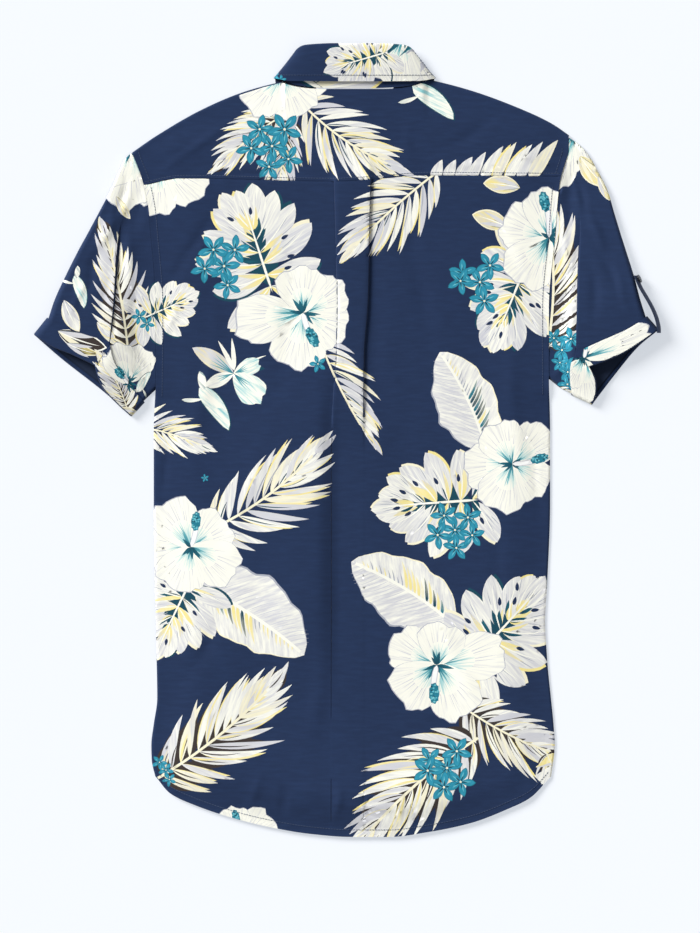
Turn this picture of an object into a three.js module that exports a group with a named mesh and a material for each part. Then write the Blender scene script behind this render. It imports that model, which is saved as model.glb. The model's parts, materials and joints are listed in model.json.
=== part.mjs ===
// Short-sleeved shirt lying flat with its back up.
// Millimetres, X across the back, Y from hem to collar, Z up.
import * as THREE from 'three';

// Sizes.
const cloth = 1.0; // one layer of cotton
const seamGap = 0.3; // clear space at seams and between layers
const pitch = cloth + seamGap; // height of one layer over the next
const floorZ = cloth / 2; // middle of a layer that lies on the surface
const centreX = 7; // line of the front edges and of the collar
const armpitY = 50;
const lapHalf = 15; // half the width of the front overlap
const buttonHigh = 2.0;
const buttonRadius = 5.5;
const lapZ = buttonHigh + seamGap + cloth / 2; // middle of the outer front edge over its buttons
const bodyZ = 4.9; // middle of the back where it lies over the fronts
const armholeZ = floorZ + 2 * pitch; // middle of the upper layer at the armholes
const sideZ = floorZ + pitch; // middle of the back at the side seams
const hemZ = 3.2;
const yokeWrap = 25; // how far the yoke runs over the shoulder to the front
const frontTail = 24; // how much shorter the front tail is
const pleatCentre = 5;
const pleatDepth = 15; // cloth folded under each edge of the pleat
const bend = pitch / 2; // radius of a folded layer's middle line
const cuffOut = 1.7; // how far a turned-up cuff lies outside its sleeve
const sleeveLoft = 9.5; // space that a sleeve holds at its cuff
const tabHigh = 13;
const tabButtonRadius = 4.2;

// Look of each kind of surface.
const looks = {
  cloth: { color: 0x24374f, roughness: 0.85, metalness: 0 },
  button: { color: 0x2a2f38, roughness: 0.35, metalness: 0 },
};

// Left and right edge of the body at heights from the yoke seam to the tail.
const sides = [
  { y: 281, left: -210.6, right: 216.0 },
  { y: 250, left: -199.3, right: 207.2 },
  { y: 225, left: -194.2, right: 204.6 },
  { y: 204, left: -192.3, right: 203.2 },
  { y: 129, left: -186.9, right: 196.7 },
  { y: 50, left: -187.4, right: 196.8 },
  { y: 10, left: -188.9, right: 197.6 },
  { y: -60, left: -188.9, right: 197.6 },
  { y: -141, left: -187.9, right: 194.7 },
  { y: -176, left: -186.9, right: 192.8 },
  { y: -214, left: -186.1, right: 194.7 },
  { y: -252, left: -185.5, right: 198.4 },
  { y: -277, left: -188.9, right: 200.9 },
  { y: -298, left: -191.3, right: 202.2 },
  { y: -313, left: -190.8, right: 200.8 },
  { y: -328, left: -187.5, right: 198.7 },
];
// Lower edge of the back.
const hem = [
  { x: -187.5, y: -328 },
  { x: -173, y: -345 },
  { x: -150, y: -356 },
  { x: -115, y: -368 },
  { x: -75, y: -378 },
  { x: -36, y: -384.5 },
  { x: 3, y: -387.4 },
  { x: 41, y: -387.4 },
  { x: 80, y: -382.5 },
  { x: 120, y: -374 },
  { x: 158, y: -359.5 },
  { x: 178, y: -349.5 },
  { x: 198.7, y: -328 },
];
// Seam between yoke and back.
const yokeSeam = [
  { x: -199.5, y: 249 },
  { x: -162, y: 255.7 },
  { x: -12, y: 252.8 },
  { x: 23, y: 254.7 },
  { x: 80, y: 258.6 },
  { x: 207.4, y: 257.7 },
];
// Fold of the shoulders, with the back of the neck between them.
const shoulder = [
  { x: -211, y: 279.5 },
  { x: -186, y: 296.7 },
  { x: -142, y: 322.1 },
  { x: -103, y: 338.7 },
  { x: -72, y: 347.4 },
  { x: -62, y: 349.4 },
  { x: 76, y: 351.6 },
  { x: 87, y: 349.6 },
  { x: 124, y: 339.6 },
  { x: 173, y: 321.1 },
  { x: 199, y: 308.6 },
  { x: 218, y: 295.6 },
];
const neckHalf = 69; // half the width of the neck at the shoulder folds
const neckBack = 342.6; // neck seam at the middle of the back
const neckFront = 268; // neck seam at the middle of the front
// Box pleat: outer folds, and how much of its depth is folded under.
const pleat = [
  { y: 256, left: -13, right: 23, folded: 1 },
  { y: 195, left: -11.2, right: 21.5, folded: 0.95 },
  { y: 134, left: -10.2, right: 20.0, folded: 0.8 },
  { y: 82, left: -11.2, right: 16.2, folded: 0.55 },
  { y: 39, left: -14, right: 16.0, folded: 0.22 },
  { y: 12, left: -15, right: 16.0, folded: 0.06 },
  { y: -12, left: -16, right: 16.0, folded: 0 },
];
// Soft folds that run down the back: depth is below the cloth beside them when negative.
const softFolds = [
  { x: -22, fromY: 60, toY: -205, wide: 10, depth: -1.2 },
  { x: 22, fromY: 40, toY: -160, wide: 16, depth: 0.5 },
  { x: -120, fromY: 210, toY: -40, wide: 26, depth: -0.8 },
  { x: 132, fromY: 190, toY: -120, wide: 24, depth: -0.8 },
  { x: -84, fromY: -90, toY: -330, wide: 22, depth: -0.7 },
  { x: 96, fromY: -170, toY: -350, wide: 22, depth: -0.6 },
];
// Collar from the middle of the back round to the front edge, as distances from the collar's centre line.
// neck: seam of the stand. fold: top of the stand. edge: free edge of the leaf. out: which way the leaf lies.
const collar = [
  {
    neckX: 0, neckY: 343, neckZ: 5.9, foldX: 0, foldY: 384.63, foldZ: 10.2,
    edgeX: 0, edgeY: 350.2, edgeZ: 9.6, outX: 0, outZ: 1,
  },
  {
    neckX: 24, neckY: 343.3, neckZ: 5.8, foldX: 24, foldY: 384.73, foldZ: 10.2,
    edgeX: 26, edgeY: 350.2, edgeZ: 9.6, outX: 0, outZ: 1,
  },
  {
    neckX: 44, neckY: 344.4, neckZ: 5.3, foldX: 43, foldY: 383.7, foldZ: 9.7,
    edgeX: 50, edgeY: 350.4, edgeZ: 9.0, outX: 0.1, outZ: 1,
  },
  {
    neckX: 57, neckY: 346.2, neckZ: 4.9, foldX: 51, foldY: 382.4, foldZ: 8.6,
    edgeX: 66, edgeY: 350.8, edgeZ: 7.9, outX: 0.4, outZ: 0.9,
  },
  {
    neckX: 64, neckY: 348.6, neckZ: 4.6, foldX: 55, foldY: 379.6, foldZ: 7.2,
    edgeX: 75.2, edgeY: 352.4, edgeZ: 6.2, outX: 0.8, outZ: 0.6,
  },
  {
    neckX: 67, neckY: 350, neckZ: 3.6, foldX: 56.4, foldY: 377, foldZ: 5.6,
    edgeX: 78.6, edgeY: 352.8, edgeZ: 4.1, outX: 1, outZ: 0,
  },
  {
    neckX: 66.4, neckY: 349, neckZ: 2.5, foldX: 55.4, foldY: 373.8, foldZ: 4.0,
    edgeX: 78.6, edgeY: 352.8, edgeZ: 1.9, outX: 0.8, outZ: -0.6,
  },
  {
    neckX: 65.4, neckY: 343, neckZ: 1.9, foldX: 53.2, foldY: 369.6, foldZ: 3.1,
    edgeX: 77.6, edgeY: 351.6, edgeZ: 0.5, outX: 0.3, outZ: -0.95,
  },
  {
    neckX: 62, neckY: 327, neckZ: 1.8, foldX: 47, foldY: 355, foldZ: 2.8,
    edgeX: 74, edgeY: 325, edgeZ: 0.5, outX: 0, outZ: -1,
  },
  {
    neckX: 48, neckY: 299, neckZ: 1.8, foldX: 33, foldY: 332, foldZ: 2.8,
    edgeX: 66, edgeY: 290, edgeZ: 0.5, outX: 0, outZ: -1,
  },
  {
    neckX: 27, neckY: 277.5, neckZ: 1.8, foldX: 17, foldY: 312, foldZ: 2.8,
    edgeX: 56, edgeY: 260, edgeZ: 0.5, outX: 0, outZ: -1,
  },
  {
    neckX: 3, neckY: 268.2, neckZ: 2.8, foldX: 3, foldY: 300, foldZ: 2.8,
    edgeX: 46, edgeY: 242, edgeZ: 0.5, outX: 0, outZ: -1,
  },
];
const standLap = 14; // how far the stand runs past the middle of the front

// Sleeves: side is -1 for the left one. Each path is a row of points in the plane.
const leftSleeve = {
  side: -1,
  outer: [
    { x: -211.6, y: 279.6 }, { x: -217.2, y: 273.3 }, { x: -222, y: 263.5 }, { x: -230.8, y: 244 },
    { x: -251.3, y: 205 }, { x: -263, y: 183.5 }, { x: -274.7, y: 160.1 }, { x: -285.5, y: 136.6 },
    { x: -291.6, y: 118.2 },
  ],
  fold: [
    { x: -206.5, y: 266 }, { x: -214, y: 236 }, { x: -223, y: 204 }, { x: -229, y: 129 },
    { x: -232.5, y: 96 },
  ],
  under: [{ x: -187.8, y: 49.2 }, { x: -199.4, y: 38.2 }],
  cuffTop: {
    outer: [{ x: -291.6, y: 118.2 }, { x: -275.5, y: 109.4 }, { x: -258.5, y: 103.6 }, { x: -232.5, y: 96 }],
    inner: [{ x: -232.5, y: 96 }, { x: -228, y: 76 }, { x: -214.5, y: 57 }, { x: -199.4, y: 38.2 }],
    far: [{ x: -291.6, y: 118.2 }, { x: -266, y: 96 }, { x: -226, y: 63 }, { x: -199.4, y: 38.2 }],
  },
  cuffFold: {
    outer: [{ x: -304.4, y: 102.2 }, { x: -287.3, y: 91.2 }, { x: -269, y: 83.8 }, { x: -246.8, y: 73.2 }],
    inner: [{ x: -246.8, y: 73.2 }, { x: -239.4, y: 52 }, { x: -224, y: 35 }, { x: -212, y: 24.4 }],
    far: [{ x: -304.4, y: 102.2 }, { x: -279.4, y: 80.4 }, { x: -236.3, y: 46.6 }, { x: -212, y: 24.4 }],
  },
  foldFrom: 0.24,
};
const rightSleeve = {
  side: 1,
  outer: [
    { x: 216.5, y: 294.4 }, { x: 224.4, y: 289.2 }, { x: 231.6, y: 282.4 }, { x: 237.4, y: 274 },
    { x: 243.8, y: 262.5 }, { x: 253.3, y: 244 },
    { x: 259.1, y: 224.5 }, { x: 265, y: 205 }, { x: 271.8, y: 183.5 }, { x: 279.2, y: 160.1 },
    { x: 285, y: 138 }, { x: 290.8, y: 119.6 },
  ],
  fold: [
    { x: 214.5, y: 268 }, { x: 222, y: 240 }, { x: 227.4, y: 217 }, { x: 226, y: 160 }, { x: 223.6, y: 86 },
  ],
  under: [{ x: 197.3, y: 59.6 }, { x: 209, y: 50.6 }, { x: 219, y: 45.6 }],
  cuffTop: {
    outer: [{ x: 290.8, y: 119.6 }, { x: 274.7, y: 109 }, { x: 245, y: 95.6 }, { x: 223.6, y: 86 }],
    inner: [{ x: 223.6, y: 86 }, { x: 218.4, y: 75 }, { x: 217.4, y: 60 }, { x: 219, y: 45.6 }],
    far: [{ x: 290.8, y: 119.6 }, { x: 268, y: 96 }, { x: 240, y: 66 }, { x: 219, y: 45.6 }],
  },
  cuffFold: {
    outer: [{ x: 301.8, y: 107.0 }, { x: 287, y: 96.6 }, { x: 267.6, y: 84.4 }, { x: 235.6, y: 71.4 }],
    inner: [{ x: 235.6, y: 71.4 }, { x: 242, y: 60 }, { x: 242.6, y: 46 }, { x: 239.2, y: 36.2 }],
    far: [{ x: 301.8, y: 107.0 }, { x: 283, y: 91.4 }, { x: 262.6, y: 67 }, { x: 239.2, y: 36.2 }],
  },
  foldFrom: 0.2,
};
const tabPath = [
  { x: 282.3, y: 160.4 }, { x: 286.8, y: 149.6 }, { x: 292, y: 140.6 }, { x: 298, y: 130 },
  { x: 302.6, y: 119 }, { x: 304.7, y: 110 }, { x: 304.9, y: 104.5 },
];

// Helpers.
const lerp = (a, b, t) => a + (b - a) * t;
const clamp = (v, lo, hi) => Math.min(hi, Math.max(lo, v));
const smooth = (from, to, v) => {
  const t = clamp((v - from) / (to - from), 0, 1);
  return t * t * (3 - 2 * t);
};

// Smooth value of one column of a table against another, without overshoot between rows.
function column(table, key, name) {
  const rows = [...table].sort((a, b) => a[key] - b[key]);
  const xs = rows.map((r) => r[key]);
  const ys = rows.map((r) => r[name]);
  const slope = xs.map((_, i) => {
    if (i === 0 || i === xs.length - 1) return 0;
    const a = (ys[i] - ys[i - 1]) / (xs[i] - xs[i - 1]);
    const b = (ys[i + 1] - ys[i]) / (xs[i + 1] - xs[i]);
    return a * b <= 0 ? 0 : (2 * a * b) / (a + b);
  });
  slope[0] = (ys[1] - ys[0]) / (xs[1] - xs[0]);
  const last = xs.length - 1;
  slope[last] = (ys[last] - ys[last - 1]) / (xs[last] - xs[last - 1]);
  return (x) => {
    if (x <= xs[0]) return ys[0] + slope[0] * (x - xs[0]);
    if (x >= xs[last]) return ys[last] + slope[last] * (x - xs[last]);
    let i = 0;
    while (x > xs[i + 1]) i += 1;
    const h = xs[i + 1] - xs[i];
    const t = (x - xs[i]) / h;
    const a = 2 * t ** 3 - 3 * t ** 2 + 1;
    const b = t ** 3 - 2 * t ** 2 + t;
    const c = -2 * t ** 3 + 3 * t ** 2;
    const d = t ** 3 - t ** 2;
    return a * ys[i] + b * h * slope[i] + c * ys[i + 1] + d * h * slope[i + 1];
  };
}

// Point at a share of the length of a row of points, on a smooth curve through them.
function path(points) {
  const knots = points.map((p) => new THREE.Vector3(p.x, p.y, 0));
  const curve = new THREE.CatmullRomCurve3(knots, false, 'centripetal');
  curve.arcLengthDivisions = 400;
  return (t) => {
    const p = curve.getPointAt(clamp(t, 0, 1));
    return [p.x, p.y];
  };
}

// Closed body from a net of middle points, moved half a thickness to both sides.
function wall(name, net, { ring = false, skip = () => false, thickness = cloth } = {}) {
  const rows = net.length;
  const cols = net[0].length;
  const cells = [];
  for (let i = 0; i < rows - 1; i += 1) {
    for (let j = 0; j < cols - (ring ? 0 : 1); j += 1) {
      const next = (j + 1) % cols;
      if (!skip(i, j)) cells.push([i * cols + j, i * cols + next, (i + 1) * cols + next, (i + 1) * cols + j]);
    }
  }
  const mid = net.flat().map((p) => new THREE.Vector3(...p));
  const normal = mid.map(() => new THREE.Vector3());
  const tris = [];
  for (const [a, b, c, d] of cells) {
    const short = mid[a].distanceTo(mid[c]) <= mid[b].distanceTo(mid[d]);
    tris.push(...(short ? [[a, b, c], [a, c, d]] : [[a, b, d], [b, c, d]]));
  }
  for (const [a, b, c] of tris) {
    const ab = mid[b].clone().sub(mid[a]);
    const ac = mid[c].clone().sub(mid[a]);
    const n = ab.clone().cross(ac).normalize();
    const corner = (p, q, r) => mid[q].clone().sub(mid[p]).angleTo(mid[r].clone().sub(mid[p]));
    normal[a].addScaledVector(n, corner(a, b, c));
    normal[b].addScaledVector(n, corner(b, c, a));
    normal[c].addScaledVector(n, corner(c, a, b));
  }
  const index = new Map();
  const position = [];
  const put = (v, side) => {
    const key = `${v},${side}`;
    if (!index.has(key)) {
      const p = mid[v].clone().addScaledVector(normal[v].clone().normalize(), (side * thickness) / 2);
      index.set(key, position.length / 3);
      position.push(p.x, p.y, p.z);
    }
    return index.get(key);
  };
  const faces = [];
  const edges = new Set();
  for (const [a, b, c] of tris) {
    faces.push(put(a, 1), put(b, 1), put(c, 1), put(a, -1), put(c, -1), put(b, -1));
    for (const [p, q] of [[a, b], [b, c], [c, a]]) edges.add(`${p},${q}`);
  }
  for (const edge of edges) {
    const [p, q] = edge.split(',').map(Number);
    if (edges.has(`${q},${p}`)) continue;
    faces.push(put(q, 1), put(p, 1), put(p, -1), put(q, 1), put(p, -1), put(q, -1));
  }
  const geometry = new THREE.BufferGeometry();
  geometry.setAttribute('position', new THREE.Float32BufferAttribute(position, 3));
  geometry.setIndex(faces);
  geometry.computeVertexNormals();
  const mesh = new THREE.Mesh(geometry, new THREE.MeshStandardMaterial(looks.cloth));
  mesh.name = name;
  return mesh;
}

// Closed body turned from a profile of radius and height about Z.
function turned(name, profile, segments) {
  const position = [];
  const faces = [];
  for (const p of profile) {
    for (let k = 0; k < segments; k += 1) {
      const angle = (2 * Math.PI * k) / segments;
      position.push(p.r * Math.cos(angle), p.r * Math.sin(angle), p.z);
    }
  }
  const low = position.length / 3;
  position.push(0, 0, profile[0].z);
  position.push(0, 0, profile[profile.length - 1].z);
  for (let k = 0; k < segments; k += 1) {
    const next = (k + 1) % segments;
    for (let i = 0; i < profile.length - 1; i += 1) {
      const a = i * segments + k;
      const b = i * segments + next;
      faces.push(a, b, b + segments, a, b + segments, a + segments);
    }
    const top = (profile.length - 1) * segments;
    faces.push(low, next, k, low + 1, top + k, top + next);
  }
  const geometry = new THREE.BufferGeometry();
  geometry.setAttribute('position', new THREE.Float32BufferAttribute(position, 3));
  geometry.setIndex(faces);
  geometry.computeVertexNormals();
  const mesh = new THREE.Mesh(geometry, new THREE.MeshStandardMaterial(looks.button));
  mesh.name = name;
  return mesh;
}

// Body.
// Body edges. Above the armpits they are the armhole seams,
// straight between the points that the sleeves share.
const seamShares = [0, 0.1, 0.22, 0.36, 0.52, 0.7, 0.87, 1];
function edgeLine(name, form) {
  const smoothEdge = column(sides, 'y', name);
  const high = form.fold[0].y;
  const low = form.under[0].y;
  const knots = [281, 273.5, ...seamShares.map((u) => lerp(high, low, u))];
  const at = (y) => {
    if (y <= low) return smoothEdge(Math.max(y, -328));
    const i = clamp(knots.findIndex((k) => k <= y), 1, knots.length - 1);
    const t = (knots[i - 1] - Math.min(y, 281)) / (knots[i - 1] - knots[i]);
    return lerp(smoothEdge(knots[i - 1]), smoothEdge(knots[i]), t);
  };
  at.knots = knots;
  at.low = low;
  return at;
}
// Shares of a column's length at which it passes the armhole points, with some more.
function rowShares(top, low, knots, more) {
  const own = knots.filter((k) => k < top - 2 && k > low + 2).map((k) => (top - k) / (top - low));
  const all = [...own, ...more].sort((a, b) => a - b);
  return all.filter((v, i) => i === 0 || v - all[i - 1] > 0.004);
}
const leftEdge = edgeLine('left', leftSleeve);
const rightEdge = edgeLine('right', rightSleeve);
const hemY = column(hem, 'x', 'y');
const seamY = column(yokeSeam, 'x', 'y');
const shoulderY = column(shoulder, 'x', 'y');
const pleatLeft = column(pleat, 'y', 'left');
const pleatRight = column(pleat, 'y', 'right');
const pleatFolded = column(pleat, 'y', 'folded');

// Middle height of the back away from its pleat.
function backZ(x, y) {
  const fromSide = Math.min(x - leftEdge(clamp(y, -328, 281)), rightEdge(clamp(y, -328, 281)) - x);
  const fromHem = y - hemY(clamp(x, -187, 198));
  const edge = lerp(sideZ, armholeZ, smooth(armpitY - 14, armpitY + 2, y));
  const plain = lerp(edge, bodyZ, smooth(0, 46, fromSide));
  const middle = 0.8 * Math.exp(-(((x - centreX) / 34) ** 2));
  let soft = 0;
  for (const f of softFolds) {
    const along = smooth(f.toY, f.toY + 60, y) * (1 - smooth(f.fromY - 60, f.fromY, y));
    soft += f.depth * along * Math.exp(-(((x - f.x) / f.wide) ** 2));
  }
  const inside = plain + middle + soft * smooth(8, 40, fromSide);
  return lerp(Math.min(inside, hemZ), inside, smooth(0, 55, fromHem));
}

// Under the collar leaf the fronts and the turned yoke lie one layer higher.
function overLeaf(x, y) {
  const across = 1 - smooth(84, 100, Math.abs(x - centreX));
  return pitch * across * smooth(190, 216, y);
}
function lapShare(y) {
  return smooth(-338, -304, y);
}
function leftFrontZ(x, y) {
  const rise = (lapZ - floorZ) * lapShare(y) * smooth(centreX - lapHalf - 18, centreX - lapHalf - 1, x);
  return floorZ + Math.max(rise, overLeaf(x, y));
}
function rightFrontZ(x, y) {
  const high = lerp(floorZ + pitch, lapZ + pitch, lapShare(y)) - floorZ;
  const rise = high * (1 - smooth(centreX + lapHalf + 3, centreX + lapHalf + 30, x));
  return floorZ + Math.max(rise, overLeaf(x, y));
}

// One folded edge of the pleat, as steps across and up from the cloth beside it to the top of the box.
function foldSteps(share) {
  const turn = Math.PI * clamp(share / 0.25, 0.02, 1);
  const under = pleatDepth * clamp((share - 0.25) / 0.75, 0, 1);
  const radius = Math.max(bend, 1.7 / turn);
  const steps = [];
  const n = 3;
  for (let k = 0; k <= n; k += 1) {
    const a = (turn * k) / n;
    steps.push([radius * Math.sin(a), radius * (1 - Math.cos(a))]);
  }
  const [x1, z1] = steps[n];
  const x2 = x1 + under * Math.cos(turn);
  const z2 = z1 + under * Math.sin(turn);
  for (let k = 0; k <= n; k += 1) {
    const a = (turn * k) / n;
    const dx = radius * (Math.sin(turn) - Math.sin(turn - a));
    const dz = radius * (Math.cos(turn - a) - Math.cos(turn));
    if (k > 0 || under > 0.01) steps.push([x2 + dx, z2 + dz]);
    else steps.push([x1 + 0.001, z1]);
  }
  return { steps, radius, turn };
}

const backShares = [0, 0.025, 0.075, 0.16, 0.28, 0.42, 0.58, 0.75, 0.9];
function backPanel() {
  const more = [0, 0.365, 0.39, 0.42, 0.455, 0.52, 0.6, 0.68, 0.75, 0.81, 0.86, 0.9, 0.935, 0.97, 1];
  const sideTop = (x) => seamY(x) - seamGap / 2;
  const heights = rowShares(1, 0, [], []).concat(
    rowShares(sideTop(-199.2), -328, leftEdge.knots, more),
    rowShares(sideTop(207), -328, rightEdge.knots, []),
  ).sort((a, b) => a - b).filter((v, i, all) => i === 0 || v - all[i - 1] > 0.0015);
  const shares = backShares;
  const place = (x, v) => lerp(seamY(x) - seamGap / 2, hemY(clamp(x, -187.5, 198.7)), v);
  return heights.map((v) => {
    const midY = place(pleatCentre, v);
    const folded = midY < -12 ? 0 : pleatFolded(midY);
    const { steps, radius, turn } = foldSteps(Math.max(folded, 0.005));
    const end = steps[steps.length - 1];
    const out = radius * Math.sin(Math.min(turn, Math.PI / 2));
    const xl = pleatLeft(clamp(midY, -12, 256)) + out;
    const xr = pleatRight(clamp(midY, -12, 256)) - out;
    const row = [];
    const sidePoint = (side, s) => {
      const inner = side < 0 ? xl - end[0] : xr + end[0];
      const line = side < 0 ? leftEdge : rightEdge;
      const corner = side < 0 ? -199.2 : 207;
      const edgeY = lerp(sideTop(corner), -328, v);
      const x = lerp(line(edgeY) - (edgeY > line.low ? (side * seamGap) / 2 : 0), inner, s);
      const y = lerp(edgeY, place(x, v), smooth(0, 0.16, s));
      return [x, y, backZ(x, y)];
    };
    for (const s of shares) row.push(sidePoint(-1, s));
    for (const [dx, dz] of steps) {
      const x = xl - end[0] + dx;
      row.push([x, place(x, v), backZ(x, midY) + dz]);
    }
    for (const t of [0.33, 0.67]) {
      const x = lerp(xl, xr, t);
      row.push([x, place(x, v), backZ(x, midY) + end[1]]);
    }
    for (const [dx, dz] of [...steps].reverse()) {
      const x = xr + end[0] - dx;
      row.push([x, place(x, v), backZ(x, midY) + dz]);
    }
    for (const s of [...shares].reverse()) row.push(sidePoint(1, s));
    return row;
  });
}

function yokePanel() {
  const xs = [];
  const left = leftEdge(281) + seamGap / 2;
  const right = rightEdge(281) - seamGap / 2;
  // The columns stand where the back's do, so that the seam stays even.
  const tucked = pleatDepth + bend;
  const across = (from, inner, own) => {
    const standing = backShares.map((b) => (b * (inner - from)) / (own - from));
    return [...standing, 0.74, 1].filter((t) => t === 1 || t < 0.97).sort((a, b) => a - b);
  };
  const seamLeft = leftEdge(249) + seamGap / 2;
  const seamRight = rightEdge(257.7) - seamGap / 2;
  for (const t of across(seamLeft, pleat[0].left + tucked, centreX - neckHalf)) {
    xs.push(lerp(left, centreX - neckHalf - 1, t));
  }
  for (const x of [-50, -34, -20, -13.5, -11, 5, 21, 23.5, 30, 48, 64]) xs.push(x);
  for (const t of across(seamRight, pleat[0].right - tucked, centreX + neckHalf).reverse()) {
    xs.push(lerp(right, centreX + neckHalf + 1, t));
  }
  const turnSteps = 5;
  const rows = [];
  const turn = (armholeZ - floorZ) / 2;
  const flip = (values) => values.map((k) => -k);
  const ownRows = [0, 0.12, 0.3, 0.7, 0.86, 1];
  const flatRows = [
    ...rowShares(-seamY(-199.3), -(shoulderY(left) - turn), flip(leftEdge.knots), ownRows),
    ...rowShares(-seamY(207), -(shoulderY(right) - turn), flip(rightEdge.knots), []),
  ].sort((a, b) => a - b).filter((v, i, all) => i === 0 || v - all[i - 1] > 0.0015);
  const wrapRows = [0.27, 0.6, 0.73, 1];
  const net = [];
  const inNeck = (x) => Math.abs(x - centreX) < neckHalf + 0.5;
  const topY = (x) => {
    if (!inNeck(x)) return shoulderY(x);
    const t = Math.abs(x - centreX) / neckHalf;
    return lerp(neckBack, shoulderY(x) - 1, t ** 5) - seamGap;
  };
  const lowX = (x, y) => {
    const span = x < centreX ? leftEdge(y) + seamGap / 2 : rightEdge(y) - seamGap / 2;
    const full = x < centreX ? left : right;
    const inner = x < centreX ? centreX - neckHalf : centreX + neckHalf;
    if (Math.abs(x - centreX) < neckHalf) return x;
    return lerp(inner, span, (x - inner) / (full - inner));
  };
  for (const v of flatRows) {
    net.push(xs.map((x) => {
      const radius = inNeck(x) ? 0 : (armholeZ - floorZ - overLeaf(x, 340)) / 2;
      const low = seamY(lowX(x, x < centreX ? 249 : 257.7)) + seamGap / 2;
      const y = lerp(low, topY(x) - radius, v);
      const px = lowX(x, Math.min(y, 281));
      const box = 2 * pitch * (1 - smooth(0, 0.3, v)) * (1 - smooth(17.5, 21, Math.abs(x - pleatCentre)));
      const base = backZ(px, y);
      const z = inNeck(x) ? base : lerp(base, armholeZ, smooth(0.55, 1, v));
      return [px, y, z + box];
    }));
  }
  rows.push(net.length);
  for (let k = 1; k <= turnSteps; k += 1) {
    const a = (Math.PI * k) / turnSteps;
    net.push(xs.map((x) => {
      const low = floorZ + overLeaf(x, 340);
      const radius = (armholeZ - low) / 2;
      const y = topY(x) - radius + radius * Math.sin(a);
      return [lowX(x, Math.min(y, 281)), y, low + radius * (1 + Math.cos(a))];
    }));
  }
  for (const t of wrapRows) {
    net.push(xs.map((x) => {
      const edge = x < centreX ? left : right;
      const inner = x < centreX ? centreX - neckHalf - 1 : centreX + neckHalf + 1;
      let px = x;
      let y = 0;
      for (let k = 0; k < 12; k += 1) {
        y = shoulderY(px) - 1.3 - (yokeWrap - 1.3) * t;
        const line = x < centreX ? leftEdge : rightEdge;
        const outer = line(Math.min(y, 281)) + ((x < centreX ? 1 : -1) * seamGap) / 2;
        px = lerp(inner, outer, (x - inner) / (edge - inner));
      }
      return [px, y, floorZ + overLeaf(px, y)];
    }));
  }
  const firstNeck = xs.findIndex(inNeck);
  const lastNeck = xs.length - 1 - [...xs].reverse().findIndex(inNeck);
  const skip = (i, j) => i >= rows[0] - 1 && j >= firstNeck - 1 && j <= lastNeck;
  return wall('yoke', net, { skip });
}

// Neck seam of the fronts, and the yoke's lower edge on the shoulders.
const half = collar.map((c) => ({ x: c.neckX, y: c.neckY })).filter((c, i) => i >= 7);
const neckCurve = column([{ x: 0, y: neckFront }, ...half.slice(0, -1).reverse()], 'x', 'y');
function frontTop(x) {
  const fromCentre = Math.abs(x - centreX);
  const seam = shoulderY(x) - yokeWrap - 2.2 * seamGap;
  if (fromCentre >= neckHalf + 0.5) return seam;
  return Math.min(neckCurve(fromCentre) - seamGap, seam);
}
function frontPanel(name, side) {
  const heightZ = side < 0 ? leftFrontZ : rightFrontZ;
  const edgeX = side < 0 ? leftEdge : rightEdge;
  const free = centreX - side * lapHalf;
  let corner = edgeX(260);
  for (let k = 0; k < 20; k += 1) corner = edgeX(frontTop(corner));
  // Columns stand at the points of the neck seam and where the overlap rises.
  const shareAt = (x) => (x - corner) / (free - corner);
  const neckX = collar.slice(7).map((c) => centreX + side * c.neckX);
  const lapX = side < 0 ? [-27, -15, -9, 14] : [43, 25, -1];
  const standing = [centreX + side * (neckHalf + 0.6), centreX + side * 38, ...neckX, ...lapX];
  const shares = [0, 0.12, 0.3, 0.43, 0.53, 1, ...standing.map(shareAt)].sort((a, b) => a - b);
  const own = [0, 0.03, 0.48, 0.6, 0.72, 0.82, 0.9, 0.95, 1];
  const heights = rowShares(frontTop(corner), -328, edgeX.knots, own);
  const across = (v, s) => {
    const y = lerp(frontTop(corner), -328, v);
    return lerp(edgeX(y) - (y > edgeX.low ? (side * seamGap) / 2 : 0), free, s);
  };
  const net = heights.map((v) => shares.map((s) => {
    const x = across(v, s);
    const low = clamp(across(1, s), -187.5, 198.7);
    const tail = frontTail * smooth(0, 60, Math.min(low + 187, 198 - low));
    const y = lerp(frontTop(s === 0 ? corner : across(0, s)), hemY(low) + tail, v);
    return [x, y, heightZ(x, y)];
  }));
  return wall(name, net);
}

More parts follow.
